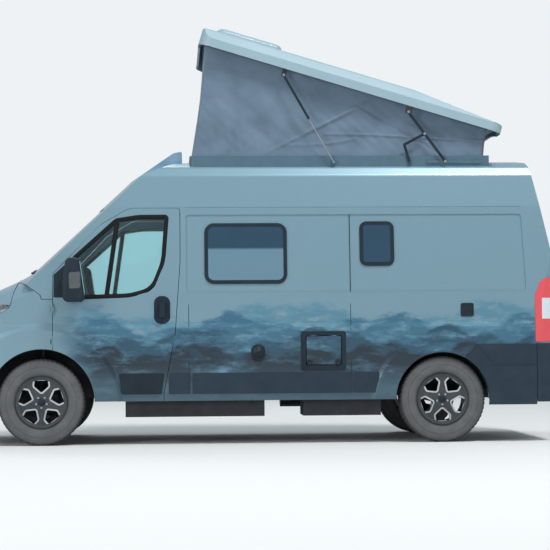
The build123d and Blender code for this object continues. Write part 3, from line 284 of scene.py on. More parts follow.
# The wash keeps to the flanks, and fades out before the nose and before the tail
outward = add(tree, "Math", {0: across}, operation="ABSOLUTE").outputs[0]
zone = add(tree, "Math", {0: outward}, {1: 0.93}, operation="GREATER_THAN").outputs[0]
for start, end in ((-1.68, -1.25), (2.62, 2.45)):
    fade = add(tree, "MapRange", {"Value": length}, {"From Min": start, "From Max": end},
               interpolation_type="SMOOTHSTEP").outputs[0]
    zone = add(tree, "Math", {0: zone, 1: fade}, operation="MULTIPLY").outputs[0]
# Bands from the far, pale one to the near, dark one.
# Columns: colour, mean height, swing, wave length, shift, softness, low end of the band, strength
BANDS = [
    ("#4f8297", 1.17, 0.105, 1.90, 0.4, 0.09, 0.66, 0.85),
    ("#35667f", 1.06, 0.100, 1.35, 2.1, 0.05, 0.58, 0.95),
    ("#1f475d", 0.95, 0.085, 1.05, 3.9, 0.04, 0.52, 0.95),
    ("#0c2433", 0.83, 0.070, 0.82, 5.2, 0.04, 0.48, 1.00),
]
drift = add(tree, "VectorMath", {0: where}, {1: (0.34, 1.0, 1.0)}, operation="MULTIPLY").outputs[0]
for code, mean, swing, wave, shift, soft, low, strength in BANDS:
    edge = None
    for share, turns, late in ((0.72, 1.0, 0.0), (0.28, 2.7, 1.3)):
        phase = add(tree, "Math", {0: length}, {1: 2 * math.pi * turns / wave, 2: shift + late},
                    operation="MULTIPLY_ADD")
        swell = add(tree, "Math", {0: phase.outputs[0]}, operation="SINE")
        level = add(tree, "Math", {0: swell.outputs[0]}, {1: swing * share, 2: mean if edge is None else 0.0},
                    operation="MULTIPLY_ADD").outputs[0]
        edge = level if edge is None else add(tree, "Math", {0: edge, 1: level}, operation="ADD").outputs[0]
    # The edge is frayed by noise of about 40 mm, as wet ink runs
    fray = add(tree, "TexNoise", {"Vector": drift},
               {"Scale": per_metre(42 + 5 * shift), "Detail": 5.0, "Roughness": 0.6})
    frayed = add(tree, "Math", {0: fray.outputs["Fac"]}, {1: 0.16, 2: -0.08},
                 operation="MULTIPLY_ADD").outputs[0]
    edge = add(tree, "Math", {0: edge, 1: frayed}, operation="ADD").outputs[0]
    below = add(tree, "Math", {0: edge, 1: height}, operation="SUBTRACT").outputs[0]
    mask = add(tree, "MapRange", {"Value": below}, {"From Max": soft},
               interpolation_type="SMOOTHSTEP").outputs[0]
    # Mottling of about 60 mm, drawn out along the side, with finer breaks, as sponged ink has
    mottle = add(tree, "TexNoise", {"Vector": drift},
                 {"Scale": per_metre(60 + 9 * shift), "Detail": 7.0, "Roughness": 0.66})
    patches = add(tree, "MapRange", {"Value": mottle.outputs["Fac"]},
                  {"From Min": 0.36, "From Max": 0.52}).outputs[0]
    # Each band thins out downwards, so that the paint shows as mist
    thin = add(tree, "MapRange", {"Value": height},
               {"From Min": low, "From Max": low + 0.20, "To Min": 0.45}).outputs[0]
    for factor in (patches, thin, zone):
        mask = add(tree, "Math", {0: mask, 1: factor}, operation="MULTIPLY").outputs[0]
    mask = add(tree, "Math", {0: mask}, {1: strength}, operation="MULTIPLY").outputs[0]
    colour = add(tree, "Mix", {"Factor": mask, "A": colour}, {"B": linear(code)},
                 data_type="RGBA").outputs["Result"]
# Painted shade: the flank darkens to a deep teal from 0.62 m down to the sills
sill_shade = add(tree, "MapRange", {"Value": height},
           {"From Min": 0.62, "From Max": 0.38, "To Max": 0.75}).outputs[0]
dust_and_shade = add(tree, "Mix", {"Factor": sill_shade, "A": colour}, {"B": linear("#2f4c5a")}, data_type="RGBA")
# Sprayed lacquer dries with a faint ripple of about 14 mm
peel = add(tree, "TexNoise", {"Vector": where}, {"Scale": per_metre(14), "Detail": 1.0})
wire(tree, (peel.outputs["Fac"], 0.015, 0.002), Base_Color=dust_and_shade.outputs["Result"])
print("lacquer has", len(tree.nodes), "nodes")

# %% [markdown]
# The pop-up roof is a moulded shell with a smooth painted top coat, a little paler than the body.
# Black plastic parts are moulded with a fine leather grain, which turns them dark grey in the light.

# %% Shell, plastics and rubber
gelcoat, tree, where = patterned("painted_moulded_shell", "#8fa9b3", 0.5, Coat_Weight=0.1)
cloudy = two_tone(tree, where, "#86a0aa", "#94adb6", 350, 3.0)
# The lift lugs that hang below the shell's lower edge are painted black. The shell stands open, so its
# places are turned back about the hinge line before their height is read.
turned_back = add(tree, "VectorRotate", {"Vector": where},
                  {"Center": (HINGE_X, 0.0, HINGE_Z), "Axis": (0.0, 1.0, 0.0), "Angle": -ROOF_SWING},
                  rotation_type="AXIS_ANGLE")
level = add(tree, "SeparateXYZ", {"Vector": turned_back.outputs[0]}).outputs[2]
lug = add(tree, "Math", {0: level}, {1: SHELL_EDGE_Z}, operation="LESS_THAN").outputs[0]
painted = add(tree, "Mix", {"Factor": lug, "A": cloudy}, {"B": linear("#22282d")}, data_type="RGBA")
wire(tree, Base_Color=painted.outputs["Result"])


def grained(name, dark, light, roughness, grain):
    """Moulded plastic: cells of the grain's size lift the surface, and its tone is a little uneven."""
    material, tree, where = patterned(name, dark, roughness, Specular_IOR_Level=0.22)
    cells = add(tree, "TexVoronoi", {"Vector": where}, {"Scale": per_metre(grain)})
    colour = two_tone(tree, where, dark, light, 120, 4.0)
    wire(tree, (cells.outputs["Distance"], 0.35, 0.0004), Base_Color=colour)
    return material


# Grain of 1.5 mm cells is drawn at 4 mm, as coarse as it needs to be to show
trim_plastic = grained("grained_black_polypropylene", "#141e27", "#24313c", 0.5, 4)
cladding_plastic = grained("weathered_grey_polypropylene", "#1f2d38", "#2f3e4a", 0.55, 4)
# The roof's base rail is black; its grey-teal tone is a painted reflection
rail_coat_painted_reflection = grained("black_powder_coat_painted_reflection", "#47606f", "#587180", 0.4, 2)
cabin_plastic = grained("soft_dashboard_plastic", "#191b1f", "#26292e", 0.7, 3)
under_plastic = grained("dusty_tank_polyethylene", "#26282b", "#3f4144", 0.75, 9)
seal_rubber = grained("matt_black_epdm_rubber", "#0d0f11", "#181b1e", 0.8, 2)

# %% [markdown]
# Tyre rubber is black only when wet: dust and wear make the sides warm grey, more so towards the rim.

# %% Tyre rubber
tyre_rubber, tree, where = patterned("dusty_tyre_rubber", "#57585a", 0.85)
dust_and_shade = two_tone(tree, where, "#47494b", "#6a6b6b", 90, 5.0, Roughness=0.6)
fine = add(tree, "TexNoise", {"Vector": where}, {"Scale": per_metre(3), "Detail": 2.0})
# The distance from the nearer axle picks out the rings: dark at the bead and on the tread, pale between
flat = add(tree, "VectorMath", {0: where}, {1: (1.0, 0.0, 1.0)}, operation="MULTIPLY").outputs[0]
reach = [add(tree, "VectorMath", {0: flat}, {1: (x, 0.0, WHEEL_Z)}, operation="DISTANCE").outputs["Value"]
         for x, _, _ in AXLES.values()]
radius = add(tree, "Math", {0: reach[0], 1: reach[1]}, operation="MINIMUM").outputs[0]
rings = add(tree, "ValToRGB", {"Fac": radius})
# Columns: radius in metres, share of the dark tone
stops = [(0.205, 0.75), (0.232, 0.55), (0.240, 0.10), (0.292, 0.0), (0.300, 0.35), (0.308, 0.05),
         (0.345, 0.15), (0.362, 0.85)]
while len(rings.color_ramp.elements) < len(stops):
    rings.color_ramp.elements.new(0.5)
for element, (place, dark) in zip(rings.color_ramp.elements, stops):
    element.position = place
    element.color = (dark, dark, dark, 1.0)
ringed = add(tree, "Mix", {"Factor": rings.outputs["Color"], "A": dust_and_shade}, {"B": linear("#232527")},
             data_type="RGBA")
wire(tree, (fine.outputs["Fac"], 0.3, 0.0006), Base_Color=ringed.outputs["Result"])

# %% [markdown]
# The rims are cast and painted dark, and then the edges of their spokes are turned bright. The bright
# edges are strips of their own, so they have a metal of their own.

# %% Rims, steel and iron
# Dark paint on a casting: half gloss, and uneven with brake dust
rim_metal, tree, where = patterned("painted_cast_alloy", "#24282d", 0.35, Coat_Weight=0.5)
wire(tree, Base_Color=two_tone(tree, where, "#1d2226", "#33393e", 40, 5.0))

# Turned alloy is a dull mirror. Its lathe marks, half a millimetre apart, are drawn at 3 mm
bare_metal, tree, where = patterned("diamond_turned_alloy", "#c9ccd0", 0.28, Metallic=0.85)
marks = add(tree, "TexNoise", {"Vector": where}, {"Scale": per_metre(3), "Detail": 2.0})
wire(tree, (marks.outputs["Fac"], 0.08, 0.0004))

# Zinc is pale grey, with crystals of about 12 mm that differ in gloss
zinc_steel, tree, where = patterned("zinc_plated_steel", "#a7abb0", 0.35, Metallic=0.9)
spangle = add(tree, "TexNoise", {"Vector": where}, {"Scale": per_metre(12), "Detail": 3.0})
rough = add(tree, "MapRange", {"Value": spangle.outputs["Fac"]}, {"To Min": 0.25, "To Max": 0.5})
wire(tree, Roughness=rough.outputs[0])

# Coated iron is dull and nearly black, with brown spots where rust comes through
coated_iron, tree, where = patterned("black_coated_iron", "#26282b", 0.6)
rusty = add(tree, "TexNoise", {"Vector": where}, {"Scale": per_metre(45), "Detail": 6.0, "Roughness": 0.7})
spots = add(tree, "MapRange", {"Value": rusty.outputs["Fac"]}, {"From Min": 0.58, "From Max": 0.70})
mixed = add(tree, "Mix", {"Factor": spots.outputs[0]}, {"A": linear("#232528"), "B": linear("#4b3a30")},
            data_type="RGBA")
wire(tree, Base_Color=mixed.outputs["Result"])

# %% [markdown]
# Glass is clear with a green-blue tint, and the living windows are smoked acrylic, which hides the inside.
# Lamp lenses are clear or dyed acrylic with fine ribs.

# %% Glass and lenses
safety_glass, tree, where = patterned("tinted_safety_glass", "#c6e6ea", 0.02, IOR=1.45,
                                      Transmission_Weight=1.0)
film = add(tree, "TexNoise", {"Vector": where}, {"Scale": per_metre(220), "Detail": 4.0})
rough = add(tree, "MapRange", {"Value": film.outputs["Fac"]}, {"To Min": 0.01, "To Max": 0.06})
wire(tree, Roughness=rough.outputs[0])

smoked_acrylic, tree, where = patterned("smoked_acrylic", "#1f3f55", 0.07, Coat_Weight=0.5)
smoke = two_tone(tree, where, "#143448", "#20455c", 300, 3.0)
# The long panes, which end before X = 0.6, are paler in their lower part, below 1.68 m
length, _, height = add(tree, "SeparateXYZ", {"Vector": where}).outputs
low_on_pane = add(tree, "MapRange", {"Value": height}, {"From Min": 1.690, "From Max": 1.670}).outputs[0]
forward = add(tree, "Math", {0: length}, {1: 0.6}, operation="LESS_THAN").outputs[0]
pale_lower_part = add(tree, "Math", {0: low_on_pane, 1: forward}, operation="MULTIPLY").outputs[0]
shown = add(tree, "Mix", {"Factor": pale_lower_part, "A": smoke}, {"B": linear("#5f7f90")}, data_type="RGBA")
wire(tree, Base_Color=shown.outputs["Result"])

# The cab's skylight is tinted acrylic, and its pale blue is a painted reflection of the sky, which makes it
# paler than the windows
skylight_acrylic, tree, where = patterned("tinted_roof_acrylic_painted_sky", "#6f98b4", 0.06, Coat_Weight=0.6)
wire(tree, Base_Color=two_tone(tree, where, "#4d7591", "#8fb2c8", 150, 4.0))

# Ribs in the clear lens break up what is behind it
clear_lens, tree, where = patterned("clear_ribbed_acrylic", "#e4ebef", 0.05, IOR=1.49,
                                    Transmission_Weight=0.9)
ribs = add(tree, "TexWave", {"Vector": where}, {"Scale": per_metre(60)}, bands_direction="Z")
wire(tree, (ribs.outputs["Fac"], 0.2, 0.001))

# The tail lamp is one moulding: dyed red, with a clear window for the indicator between two heights
red_lens, tree, where = patterned("dyed_red_acrylic", "#c22f30", 0.12, Coat_Weight=0.7)
length, _, height = add(tree, "SeparateXYZ", {"Vector": where}).outputs
clear = add(tree, "Math", {0: length}, {1: 2.565}, operation="GREATER_THAN").outputs[0]
for limit, test in ((1.06, "GREATER_THAN"), (1.24, "LESS_THAN")):
    passed = add(tree, "Math", {0: height}, {1: limit}, operation=test).outputs[0]
    clear = add(tree, "Math", {0: clear, 1: passed}, operation="MULTIPLY").outputs[0]
mixed = add(tree, "Mix", {"Factor": clear}, {"A": linear("#dc4c54"), "B": linear("#d1dae1")},
            data_type="RGBA")
ribs = add(tree, "TexWave", {"Vector": where}, {"Scale": per_metre(45)}, bands_direction="Z")
wire(tree, (ribs.outputs["Fac"], 0.35, 0.002), Base_Color=mixed.outputs["Result"])

# Silvered glass is a true mirror; a blank plate is matt and nearly white
mirror_glass = start_material("silvered_mirror_glass", "#c9d2d6", 0.03, Metallic=1.0)
blank_plate = start_material("blank_reflective_plate", "#dcdcd6", 0.45)
print("glass and lenses made")

# %% [markdown]
# The tent is plain-woven polycotton. Threads cross at right angles and make a fine grid, and the cloth is
# a little uneven in tone. Cushions are covered in a coarser weave.


# %% Woven cloths
def woven(name, dark, light, thread, sheen=0.25):
    """Plain weave: two waves of the thread's spacing cross, and their sum lifts the crossings."""
    material, tree, where = patterned(name, light, 0.9, Sheen_Weight=sheen)
    scale = {"Scale": per_metre(thread) / 3}
    warp, weft = [add(tree, "TexWave", {"Vector": where}, scale, bands_direction=way) for way in ("X", "Z")]
    weave = add(tree, "Math", {0: warp.outputs["Fac"], 1: weft.outputs["Fac"]}, operation="ADD")
    colour = two_tone(tree, where, dark, light, 260, 5.0)
    wire(tree, (weave.outputs[0], 0.25, 0.001), Base_Color=colour)
    return material


# Threads are 0.5 mm apart; they are drawn at 8 mm so that the weave shows
tent_cloth = woven("woven_grey_polycotton", "#445868", "#72869a", 8)
seat_cloth = woven("woven_charcoal_upholstery", "#34373c", "#4a4e54", 10, 0.4)
bed_cloth = woven("woven_pale_grey_upholstery", "#7d8286", "#9a9fa3", 10, 0.4)

# Laminated board is pale, with a drawn-out grain under a half-gloss film
board, tree, where = patterned("laminated_light_board", "#b9b2a6", 0.45)
wire(tree, Base_Color=two_tone(tree, where, "#a9a193", "#c6c0b6", 70, 4.0, Distortion=2.0))
print("cloths and board made")

# %% Dress the solids
FINISHES = {
    "body_paint": lacquer, "black_plastic": trim_plastic, "glass": safety_glass, "acrylic": smoked_acrylic,
    "lamp_clear": clear_lens, "lamp_red": red_lens, "tyre": tyre_rubber, "rim": rim_metal,
    "steel": zinc_steel, "iron": coated_iron, "tent_cloth": tent_cloth, "roof_plastic": gelcoat,
    "floor_paint": under_plastic, "cabinet": board, "upholstery": seat_cloth,
    "interior_plastic": cabin_plastic,
}
OWN_FINISH = {
    "rear_bumper": cladding_plastic, "side_mouldings": cladding_plastic, "front_bulkhead": under_plastic,
    "underfloor_units": under_plastic, "roof_base_frame": rail_coat_painted_reflection, "cab_skylight": skylight_acrylic,
    "cab_skylight_pane": skylight_acrylic,
}
for part in frame["record"]["subparts"]:
    node = frame["nodes"][part["node"]]
    node.data.materials.clear()
    node.data.materials.append(OWN_FINISH.get(part["node"], FINISHES[part["material_slot"]]))
print("dressed", len(frame["nodes"]), "nodes in", len(FINISHES), "finishes")

# %% [markdown]
# A tyre is a closed section turned about the axle. Its tread is a radial step that depends on the angle and
# on the place across the width: three grooves run round, and slots cut the shoulders into blocks.

# %% Tyres
GROOVE_DEPTH, SLOT_DEPTH, SIPE_DEPTH, BLOCKS_ROUND = 0.007, 0.005, 0.004, 60
# Half of the section as (radius, sideways), from the bead to the middle of the tread
TYRE_HALF = np.array([
    (0.2035, 0.0), (0.2035, 0.0925), (0.2195, 0.0935), (0.232, 0.1000), (0.245, 0.1065), (0.262, 0.1108),
    (0.279, 0.1120), (0.296, 0.1118), (0.300, 0.1128), (0.304, 0.1116), (0.322, 0.1090), (0.326, 0.1098),
    (0.330, 0.1080), (0.345, 0.1045), (0.356, 0.1005), (0.3635, 0.0950), (0.3680, 0.0880),
    (0.3700, 0.0800), (0.3704, 0.0700), (0.3706, 0.0560), (0.3706, 0.0541), (0.3706, 0.0539),
    (0.3708, 0.0461), (0.3708, 0.0459), (0.3709, 0.0300), (0.3710, 0.0150), (0.3710, 0.0042),
    (0.3710, 0.0038),
])


def tyre_grid(x, y, steps=360):
    """Radius and sideways place follow the section; in the tread the radius drops by 7 mm in the grooves,
    by 5 mm in slots that repeat 60 times round each shoulder, and by 4 mm in cuts between them."""
    section = np.vstack([TYRE_HALF[1:] * [1, -1], TYRE_HALF[::-1]])[:-1]
    radius, sideways = section.T
    angle = np.linspace(0, 2 * np.pi, steps, endpoint=False)
    groove = (np.abs(np.abs(sideways) - 0.05) < 0.004) | (np.abs(sideways) < 0.004)
    depth = np.where((radius > 0.36) & groove, GROOVE_DEPTH, 0.0)[None, :] + np.zeros((steps, 1))
    blocks = angle[:, None] * BLOCKS_ROUND / (2 * np.pi)
    shoulder = (radius > 0.355) & (np.abs(sideways) > 0.056)
    slots = shoulder[None, :] & ((blocks + np.sign(sideways)[None, :] * 0.25) % 1 < 0.34)
    depth = np.maximum(depth, np.where(slots, SLOT_DEPTH, 0.0))
    middle = (radius > 0.36) & (np.abs(sideways) > 0.006) & (np.abs(sideways) < 0.045)
    sipes = middle[None, :] & ((blocks + sideways[None, :] * 14) % 1 < 0.17)
    depth = np.maximum(depth, np.where(sipes, SIPE_DEPTH, 0.0))
    reach = radius[None, :] - depth
    points = np.stack([x + reach * np.cos(angle)[:, None], y + np.broadcast_to(sideways, reach.shape),
                       WHEEL_Z + reach * np.sin(angle)[:, None]], -1)
    return points, True, True, False


for name, x, y, _, sign in WHEELS:
    tyre = piece(f"treaded_tyre_{name}", [tyre_grid(x, sign * y)], f"wheel_{name}", tyre_rubber, smooth=False)
    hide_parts(f"tyre_{name}")
print("tyres with", len(tyre.data.polygons), "faces each")

# %% [markdown]
# Wheel bolts and the blank hub cap are turned profiles. They sit on the hub's face. A bright strip follows
# the edge of each opening between the spokes.

# %% Bolts, caps and bright edges of the wheels
HUB_FACE, BOLT_CIRCLE_R, SPOKES = 0.0765, 0.047, 5
WHEEL_BOLT = [(0.0005, -0.002), (0.0105, -0.002), (0.0105, 0.008), (0.008, 0.011), (0.0005, 0.011)]
HUB_CAP = [(0.0005, -0.002), (0.031, -0.002), (0.031, 0.006), (0.026, 0.011), (0.0005, 0.013)]
for name, x, y, _, sign in WHEELS:
    face = sign * (y + HUB_FACE)
    out = (0, sign, 0)
    bolts = []
    for k in range(SPOKES):
        angle = math.radians(126 + 72 * k)
        place = (x + BOLT_CIRCLE_R * math.cos(angle), face, WHEEL_Z + BOLT_CIRCLE_R * math.sin(angle))
        bolts.append(turned(WHEEL_BOLT, place, out, 12))
    piece(f"wheel_bolts_{name}", bolts, f"wheel_{name}", zinc_steel, smooth=False)
    cap = turned(HUB_CAP, (x, face, WHEEL_Z), out, 40)
    piece(f"hub_cap_{name}", [cap], f"wheel_{name}", trim_plastic)

# Opening of the rim as (across, up, radius), for the one that stands at the top
RIM_OPENING = [(0.000, 0.082, 0.012), (0.062, 0.138, 0.014), (0.056, 0.186, 0.008), (-0.056, 0.186, 0.008),
               (-0.062, 0.138, 0.014)]
# The spokes stand out by this much more over this much of radius, between these two radii
SPOKE_RISE, SPOKE_RUN, SPOKE_ROOT_R, SPOKE_TIP_R = 0.022, 0.136, 0.062, 0.2035


def drawn_in(line, by):
    """Closed line moved to its inside by a distance: each point goes along its own inward normal."""
    ahead = np.roll(line, -1, 0) - np.roll(line, 1, 0)
    area = np.sum(line[:, 0] * np.roll(line[:, 1], -1) - np.roll(line[:, 0], -1) * line[:, 1])
    normal = np.stack([-ahead[:, 1], ahead[:, 0]], -1) * np.sign(area)
    return line + by * normal / np.linalg.norm(normal, axis=1)[:, None]


for name, x, y, first, sign in WHEELS:
    strips = []
    for k in range(SPOKES):
        turn = math.radians(first + 72 * k - 90)
        edge = drawn_in(dense(rounded(RIM_OPENING), 0.006), -0.007)
        flat = np.stack([edge[:, 0] * math.cos(turn) - edge[:, 1] * math.sin(turn),
                         edge[:, 0] * math.sin(turn) + edge[:, 1] * math.cos(turn)], -1)
        radius = np.clip(np.linalg.norm(flat, axis=1), SPOKE_ROOT_R, SPOKE_TIP_R)
        stand = y + HUB_FACE + (radius - SPOKE_ROOT_R) / SPOKE_RUN * SPOKE_RISE
        line = np.stack([x + flat[:, 0], sign * stand, WHEEL_Z + flat[:, 1]], -1)
        strips.append(swept(line, strip_section(0.0135, 0.0012, 0.003), (0, sign, 0), True))
    piece(f"bright_spoke_edges_{name}", strips, f"wheel_{name}", bare_metal, smooth=False)
print("wheel trims made")

# %% [markdown]
# The tent is one band of cloth that goes round the opening. Round it the place follows a rectangle with
# rounded corners, and up it the cloth runs from the base rail to the roof's inner edge. It pulls in
# between the rails, hangs in soft folds, and is creased where it is folded away.

# %% Tent
TENT_LOW_X, TENT_HIGH_X, TENT_HALF_Y, TENT_CORNER_R = -0.465, 2.112, 0.774, 0.05
BASE_Z = 2.5006
# Height of the roof's inner edge when it is closed, and how far a wide panel of cloth pulls in
INNER_EDGE_Z, PULL_IN = 2.535, 0.022


def with_roof(x, z):
    """Side-view place of a point of the closed roof when it is open: turned about the hinge line."""
    dx, dz = x - HINGE_X, z - HINGE_Z
    return (HINGE_X + dx * math.cos(ROOF_SWING) + dz * math.sin(ROOF_SWING),
            HINGE_Z - dx * math.sin(ROOF_SWING) + dz * math.cos(ROOF_SWING))


def ridge(gap, spread):
    """Bell curve across a crease: one on its line, falling off as exp of minus gap squared over spread."""
    return np.exp(-(gap**2) / spread)


def span(x, start, end):
    """One between two places and zero beyond them, with a ramp of 6 cm inside each."""
    return np.clip((x - start) / 0.06, 0, 1) * np.clip((end - x) / 0.06, 0, 1)


def tent_grid(up=90):
    """Round the band u, up the band v. The corner places come from a rounded rectangle at the base and one
    on the roof's slope, mixed by v. Folds push the cloth along its outward normal."""
    outline = rectangle(TENT_LOW_X, TENT_HIGH_X, -TENT_HALF_Y, TENT_HALF_Y, TENT_CORNER_R)
    low = dense(rounded(outline), 0.0146)
    closed_x = np.interp(low[:, 0], [TENT_LOW_X, TENT_HIGH_X], [-0.472, 2.140])
    top_x, top_z = with_roof(closed_x, INNER_EDGE_Z)
    v = np.linspace(0, 1, up)[None, :]
    x = low[:, :1] * (1 - v) + top_x[:, None] * v
    y = np.broadcast_to(low[:, 1:2], x.shape).copy()
    z = BASE_Z * (1 - v) + top_z[:, None] * v
    tall = (top_z - BASE_Z)[:, None]
    ahead = np.roll(low, -1, 0) - np.roll(low, 1, 0)
    normal = np.stack([ahead[:, 1], -ahead[:, 0]], -1)
    normal /= np.linalg.norm(normal, axis=1)[:, None]
    sides = np.abs(normal[:, 1:2])
    held = np.sin(np.pi * v) ** 0.7
    push = -PULL_IN * held * np.minimum(tall, 0.6) / 0.6
    rise = z - 2.5
    # Long soft folds fan down from the roof's front corner
    fan = (x + 0.62 * rise) * sides + (1 - sides) * y
    slack = 0.35 + 0.65 * np.clip((3.0 - z) / 0.4, 0, 1)
    push = push + 0.006 * held * slack * np.sin(2 * np.pi * fan / 0.41 + 2.2 * np.sin(2.3 * z + x))
    small = np.sin(2 * np.pi * (fan + 0.5 * z) / 0.13 + 2.6 * np.sin(4 * x + 3 * z))
    push = push + 0.0028 * held * slack * small
    # Creases from folding: level lines near the tail and slanting ones further forward
    level = ridge(rise - 0.16 * (1 + 0.2 * np.sin(2 * x)), 0.00012)
    slant = ridge(rise - 0.50 * (x - 0.14), 0.00025) * span(x, 0.15, 1.12)
    lower = ridge(z - 2.575 - 0.14 * (x - 0.35) - 0.02 * np.sin(6 * x), 0.00018) * span(x, 0.33, 1.0)
    second = ridge(rise - 0.60 * (1.75 - x), 0.00025) * span(x, 0.95, 1.75)
    push = push + held * sides * (0.010 * level * (x > 0.7) + 0.017 * slant + 0.012 * lower - 0.012 * second)
    # Bunched cloth at the front lower corner
    corner = ridge(x + 0.12, 0.06) * ridge(z - 2.65, 0.014)
    push = push + 0.006 * corner * sides * np.sin(2 * np.pi * (x + 0.12 * z) / 0.075 + np.sin(9 * z))
    x = x + normal[:, :1] * push
    y = y + normal[:, 1:2] * push
    return np.stack([x, y, z], -1)


tent_points = tent_grid()
tent = piece("tent_cloth_band", [(tent_points, True, False, False)], "body", tent_cloth)
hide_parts("tent_fabric")
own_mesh(tent)
print("tent band", len(tent_points), "points round,", len(tent.data.polygons), "faces")

# %% [markdown]
# A cushion is a crowned closed form. It is a rounded box whose faces swell: the place on a sphere is pushed
# towards a box by powers of sine and cosine, and the sides pull in a little between the corners.


# %% Cushions
def power(value, exponent):
    """Power of the size of a number, with the number's own sign."""
    return np.sign(value) * np.abs(value) ** exponent


def cushion_grid(low, high, plan=0.30, edge=0.42, pull=0.012, rows=40, columns=96):
    """Longitude and latitude with powers: |cos|**plan makes the outline boxy and |cos|**edge the wall round.
    Between the corners the outline is drawn in by pull metres."""
    low, high = np.array(low, float), np.array(high, float)
    centre, half = (low + high) / 2, (high - low) / 2
    lat = np.linspace(-np.pi / 2 + 1e-3, np.pi / 2 - 1e-3, rows)[:, None]
    lon = np.linspace(0, 2 * np.pi, columns, endpoint=False)[None, :]
    ring = power(np.cos(lat), edge)
    x = power(np.cos(lon), plan) * ring
    y = power(np.sin(lon), plan) * ring
    z = power(np.sin(lat), edge) + np.zeros_like(lon)
    x = x * (1 - pull / half[0] * (1 - np.abs(y) ** 2))
    y = y * (1 - pull / half[1] * (1 - np.abs(x) ** 2))
    points = np.stack([x, y, z], -1) * half + centre
    return points, False, True, True


def tilted(grid, pivot, degrees):
    """The same grid leant back about a line along Y: a plane rotation of its X and Z."""
    points, *rest = grid
    turn = math.radians(degrees)
    dx, dz = points[..., 0] - pivot[0], points[..., 2] - pivot[1]
    moved = points.copy()
    moved[..., 0] = pivot[0] + dx * math.cos(turn) + dz * math.sin(turn)
    moved[..., 2] = pivot[1] - dx * math.sin(turn) + dz * math.cos(turn)
    return (moved, *rest)


SEAT_Y = 0.48
for side, sign in SIDES:
    y0, y1 = sorted((sign * 0.245, sign * 0.715))
    middle = sign * SEAT_Y
    pad = cushion_grid((-1.185, y0, 0.802), (-0.700, y1, 0.905))
    back = tilted(cushion_grid((-0.700, y0 + 0.01, 0.84), (-0.590, y1 - 0.01, 1.45)), (-0.66, 0.84), 12)
    head = tilted(cushion_grid((-0.575, middle - 0.13, 1.475), (-0.500, middle + 0.13, 1.64)),
                  (-0.54, 1.475), 6)
    for name, grid in (("seat_pad", pad), ("seat_back", back), ("head_rest", head)):
        made = piece(f"{name}_{side}", [grid], "body", seat_cloth)
        if name == "seat_pad":
            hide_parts("cab_seats")
posts = []
for y in (-SEAT_Y - 0.05, -SEAT_Y + 0.05, SEAT_Y - 0.05, SEAT_Y + 0.05):
    posts.append(swept([(-0.535, y, 1.40), (-0.535, y, 1.52)], ring_section(0.006), (1, 0, 0)))
piece("head_rest_posts", posts, "body", zinc_steel)
bench = piece("bench_cushion", [cushion_grid((-0.468, -0.888, 0.931), (-0.102, -0.347, 1.038))], "body",
              bed_cloth)
bench_back = piece("bench_back_cushion", [cushion_grid((-0.478, -0.860, 1.041), (-0.372, -0.347, 1.49))],
                   "body", bed_cloth)
bed = cushion_grid((1.240, -0.900, 1.031), (2.45, 0.900, 1.165), plan=0.16, edge=0.30)
mattress = piece("mattress", [bed], "body", bed_cloth)
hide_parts("cushions")
print("cushions and seats made")

# %% [markdown]
# Rubber seals and black bands follow the windows. Each is a flat strip carried along the rounded outline
# of the opening, set on the flank.

# %% Seals, seams and the window band
CAB_WINDOW = [(-1.490, 1.610, 0.012), (-1.120, 1.943, 0.06), (-0.925, 1.972, 0.17), (-0.668, 1.974, 0.03),
              (-0.700, 1.565, 0.50), (-0.800, 1.320, 0.20), (-1.000, 1.268, 0.45), (-1.425, 1.254, 0.012)]
CAB_DOORS = {"left": ("cab_door_l", -1), "right": ("cab_door_r", 1)}
for side, (body, sign) in CAB_DOORS.items():
    line = on_flank(drawn_in(dense(rounded(CAB_WINDOW, 13), 0.02), 0.013), sign, -0.001)
    piece(f"window_seal_{side}", [swept(line, strip_section(0.038, 0.004), (0, sign, 0), True)], body,
          seal_rubber)
    bar = on_flank(np.linspace([-1.200, 1.270], [-1.105, 1.935], 24), sign, -0.004)
    piece(f"quarter_bar_{side}", [swept(bar, strip_section(0.040, 0.006, 0.003), (0, sign, 0))], body,
          seal_rubber)
    # Rubber behind the gap round the door's rear edge, which keeps the light out
    edge = dense(np.array([(-0.7105, 0.46), (-0.613, 0.956), (-0.568, 1.574), (-0.5675, 1.99)]), 0.03, False)
    edge = on_flank(edge, sign, -0.030)
    piece(f"door_gap_seal_{side}", [swept(edge, strip_section(0.036, 0.010, 0.0), (0, sign, 0))], "body",
          seal_rubber)


WINDOWS = [((-0.326, 0.323, 1.408, 1.870, 0.05), -1), ((1.018, 1.254, 1.558, 1.882, 0.03), -1),
           ((-0.193, 0.456, 1.408, 1.870, 0.05), 1), ((1.018, 1.254, 1.558, 1.882, 0.03), 1)]
seals = []
for size, sign in WINDOWS:
    line = on_flank(dense(rounded(rectangle(*size)), 0.02), sign, -0.003)
    seals.append(swept(line, strip_section(0.010, 0.003, 0.002), (0, sign, 0), True))
piece("living_window_seals", seals, "body", seal_rubber)

# Sealed seams between the pressed panels: a strip 5 mm wide that lies almost flush
SEAM_LINES = [([(-0.53, 2.0385), (2.40, 2.0385)], (-1, 1)), ([(0.900, 0.40), (0.900, 2.036)], (-1, 1)),
              ([(-0.496, 0.40), (-0.496, 1.295)], (-1,))]
seams = []
for ends, signs in SEAM_LINES:
    for sign in signs:
        line = on_flank(dense(np.array(ends), 0.03, False), sign, -0.0004)
        seams.append(swept(line, strip_section(0.005, 0.0008, 0.001), (0, sign, 0)))
piece("panel_seams", seams, "body", seal_rubber, smooth=False)
print("seals and seams made")

# %% [markdown]
# Small fittings are turned or swept: the two locks of the service hatch, bolt heads on the roof's links,
# and the cap of the water filler.

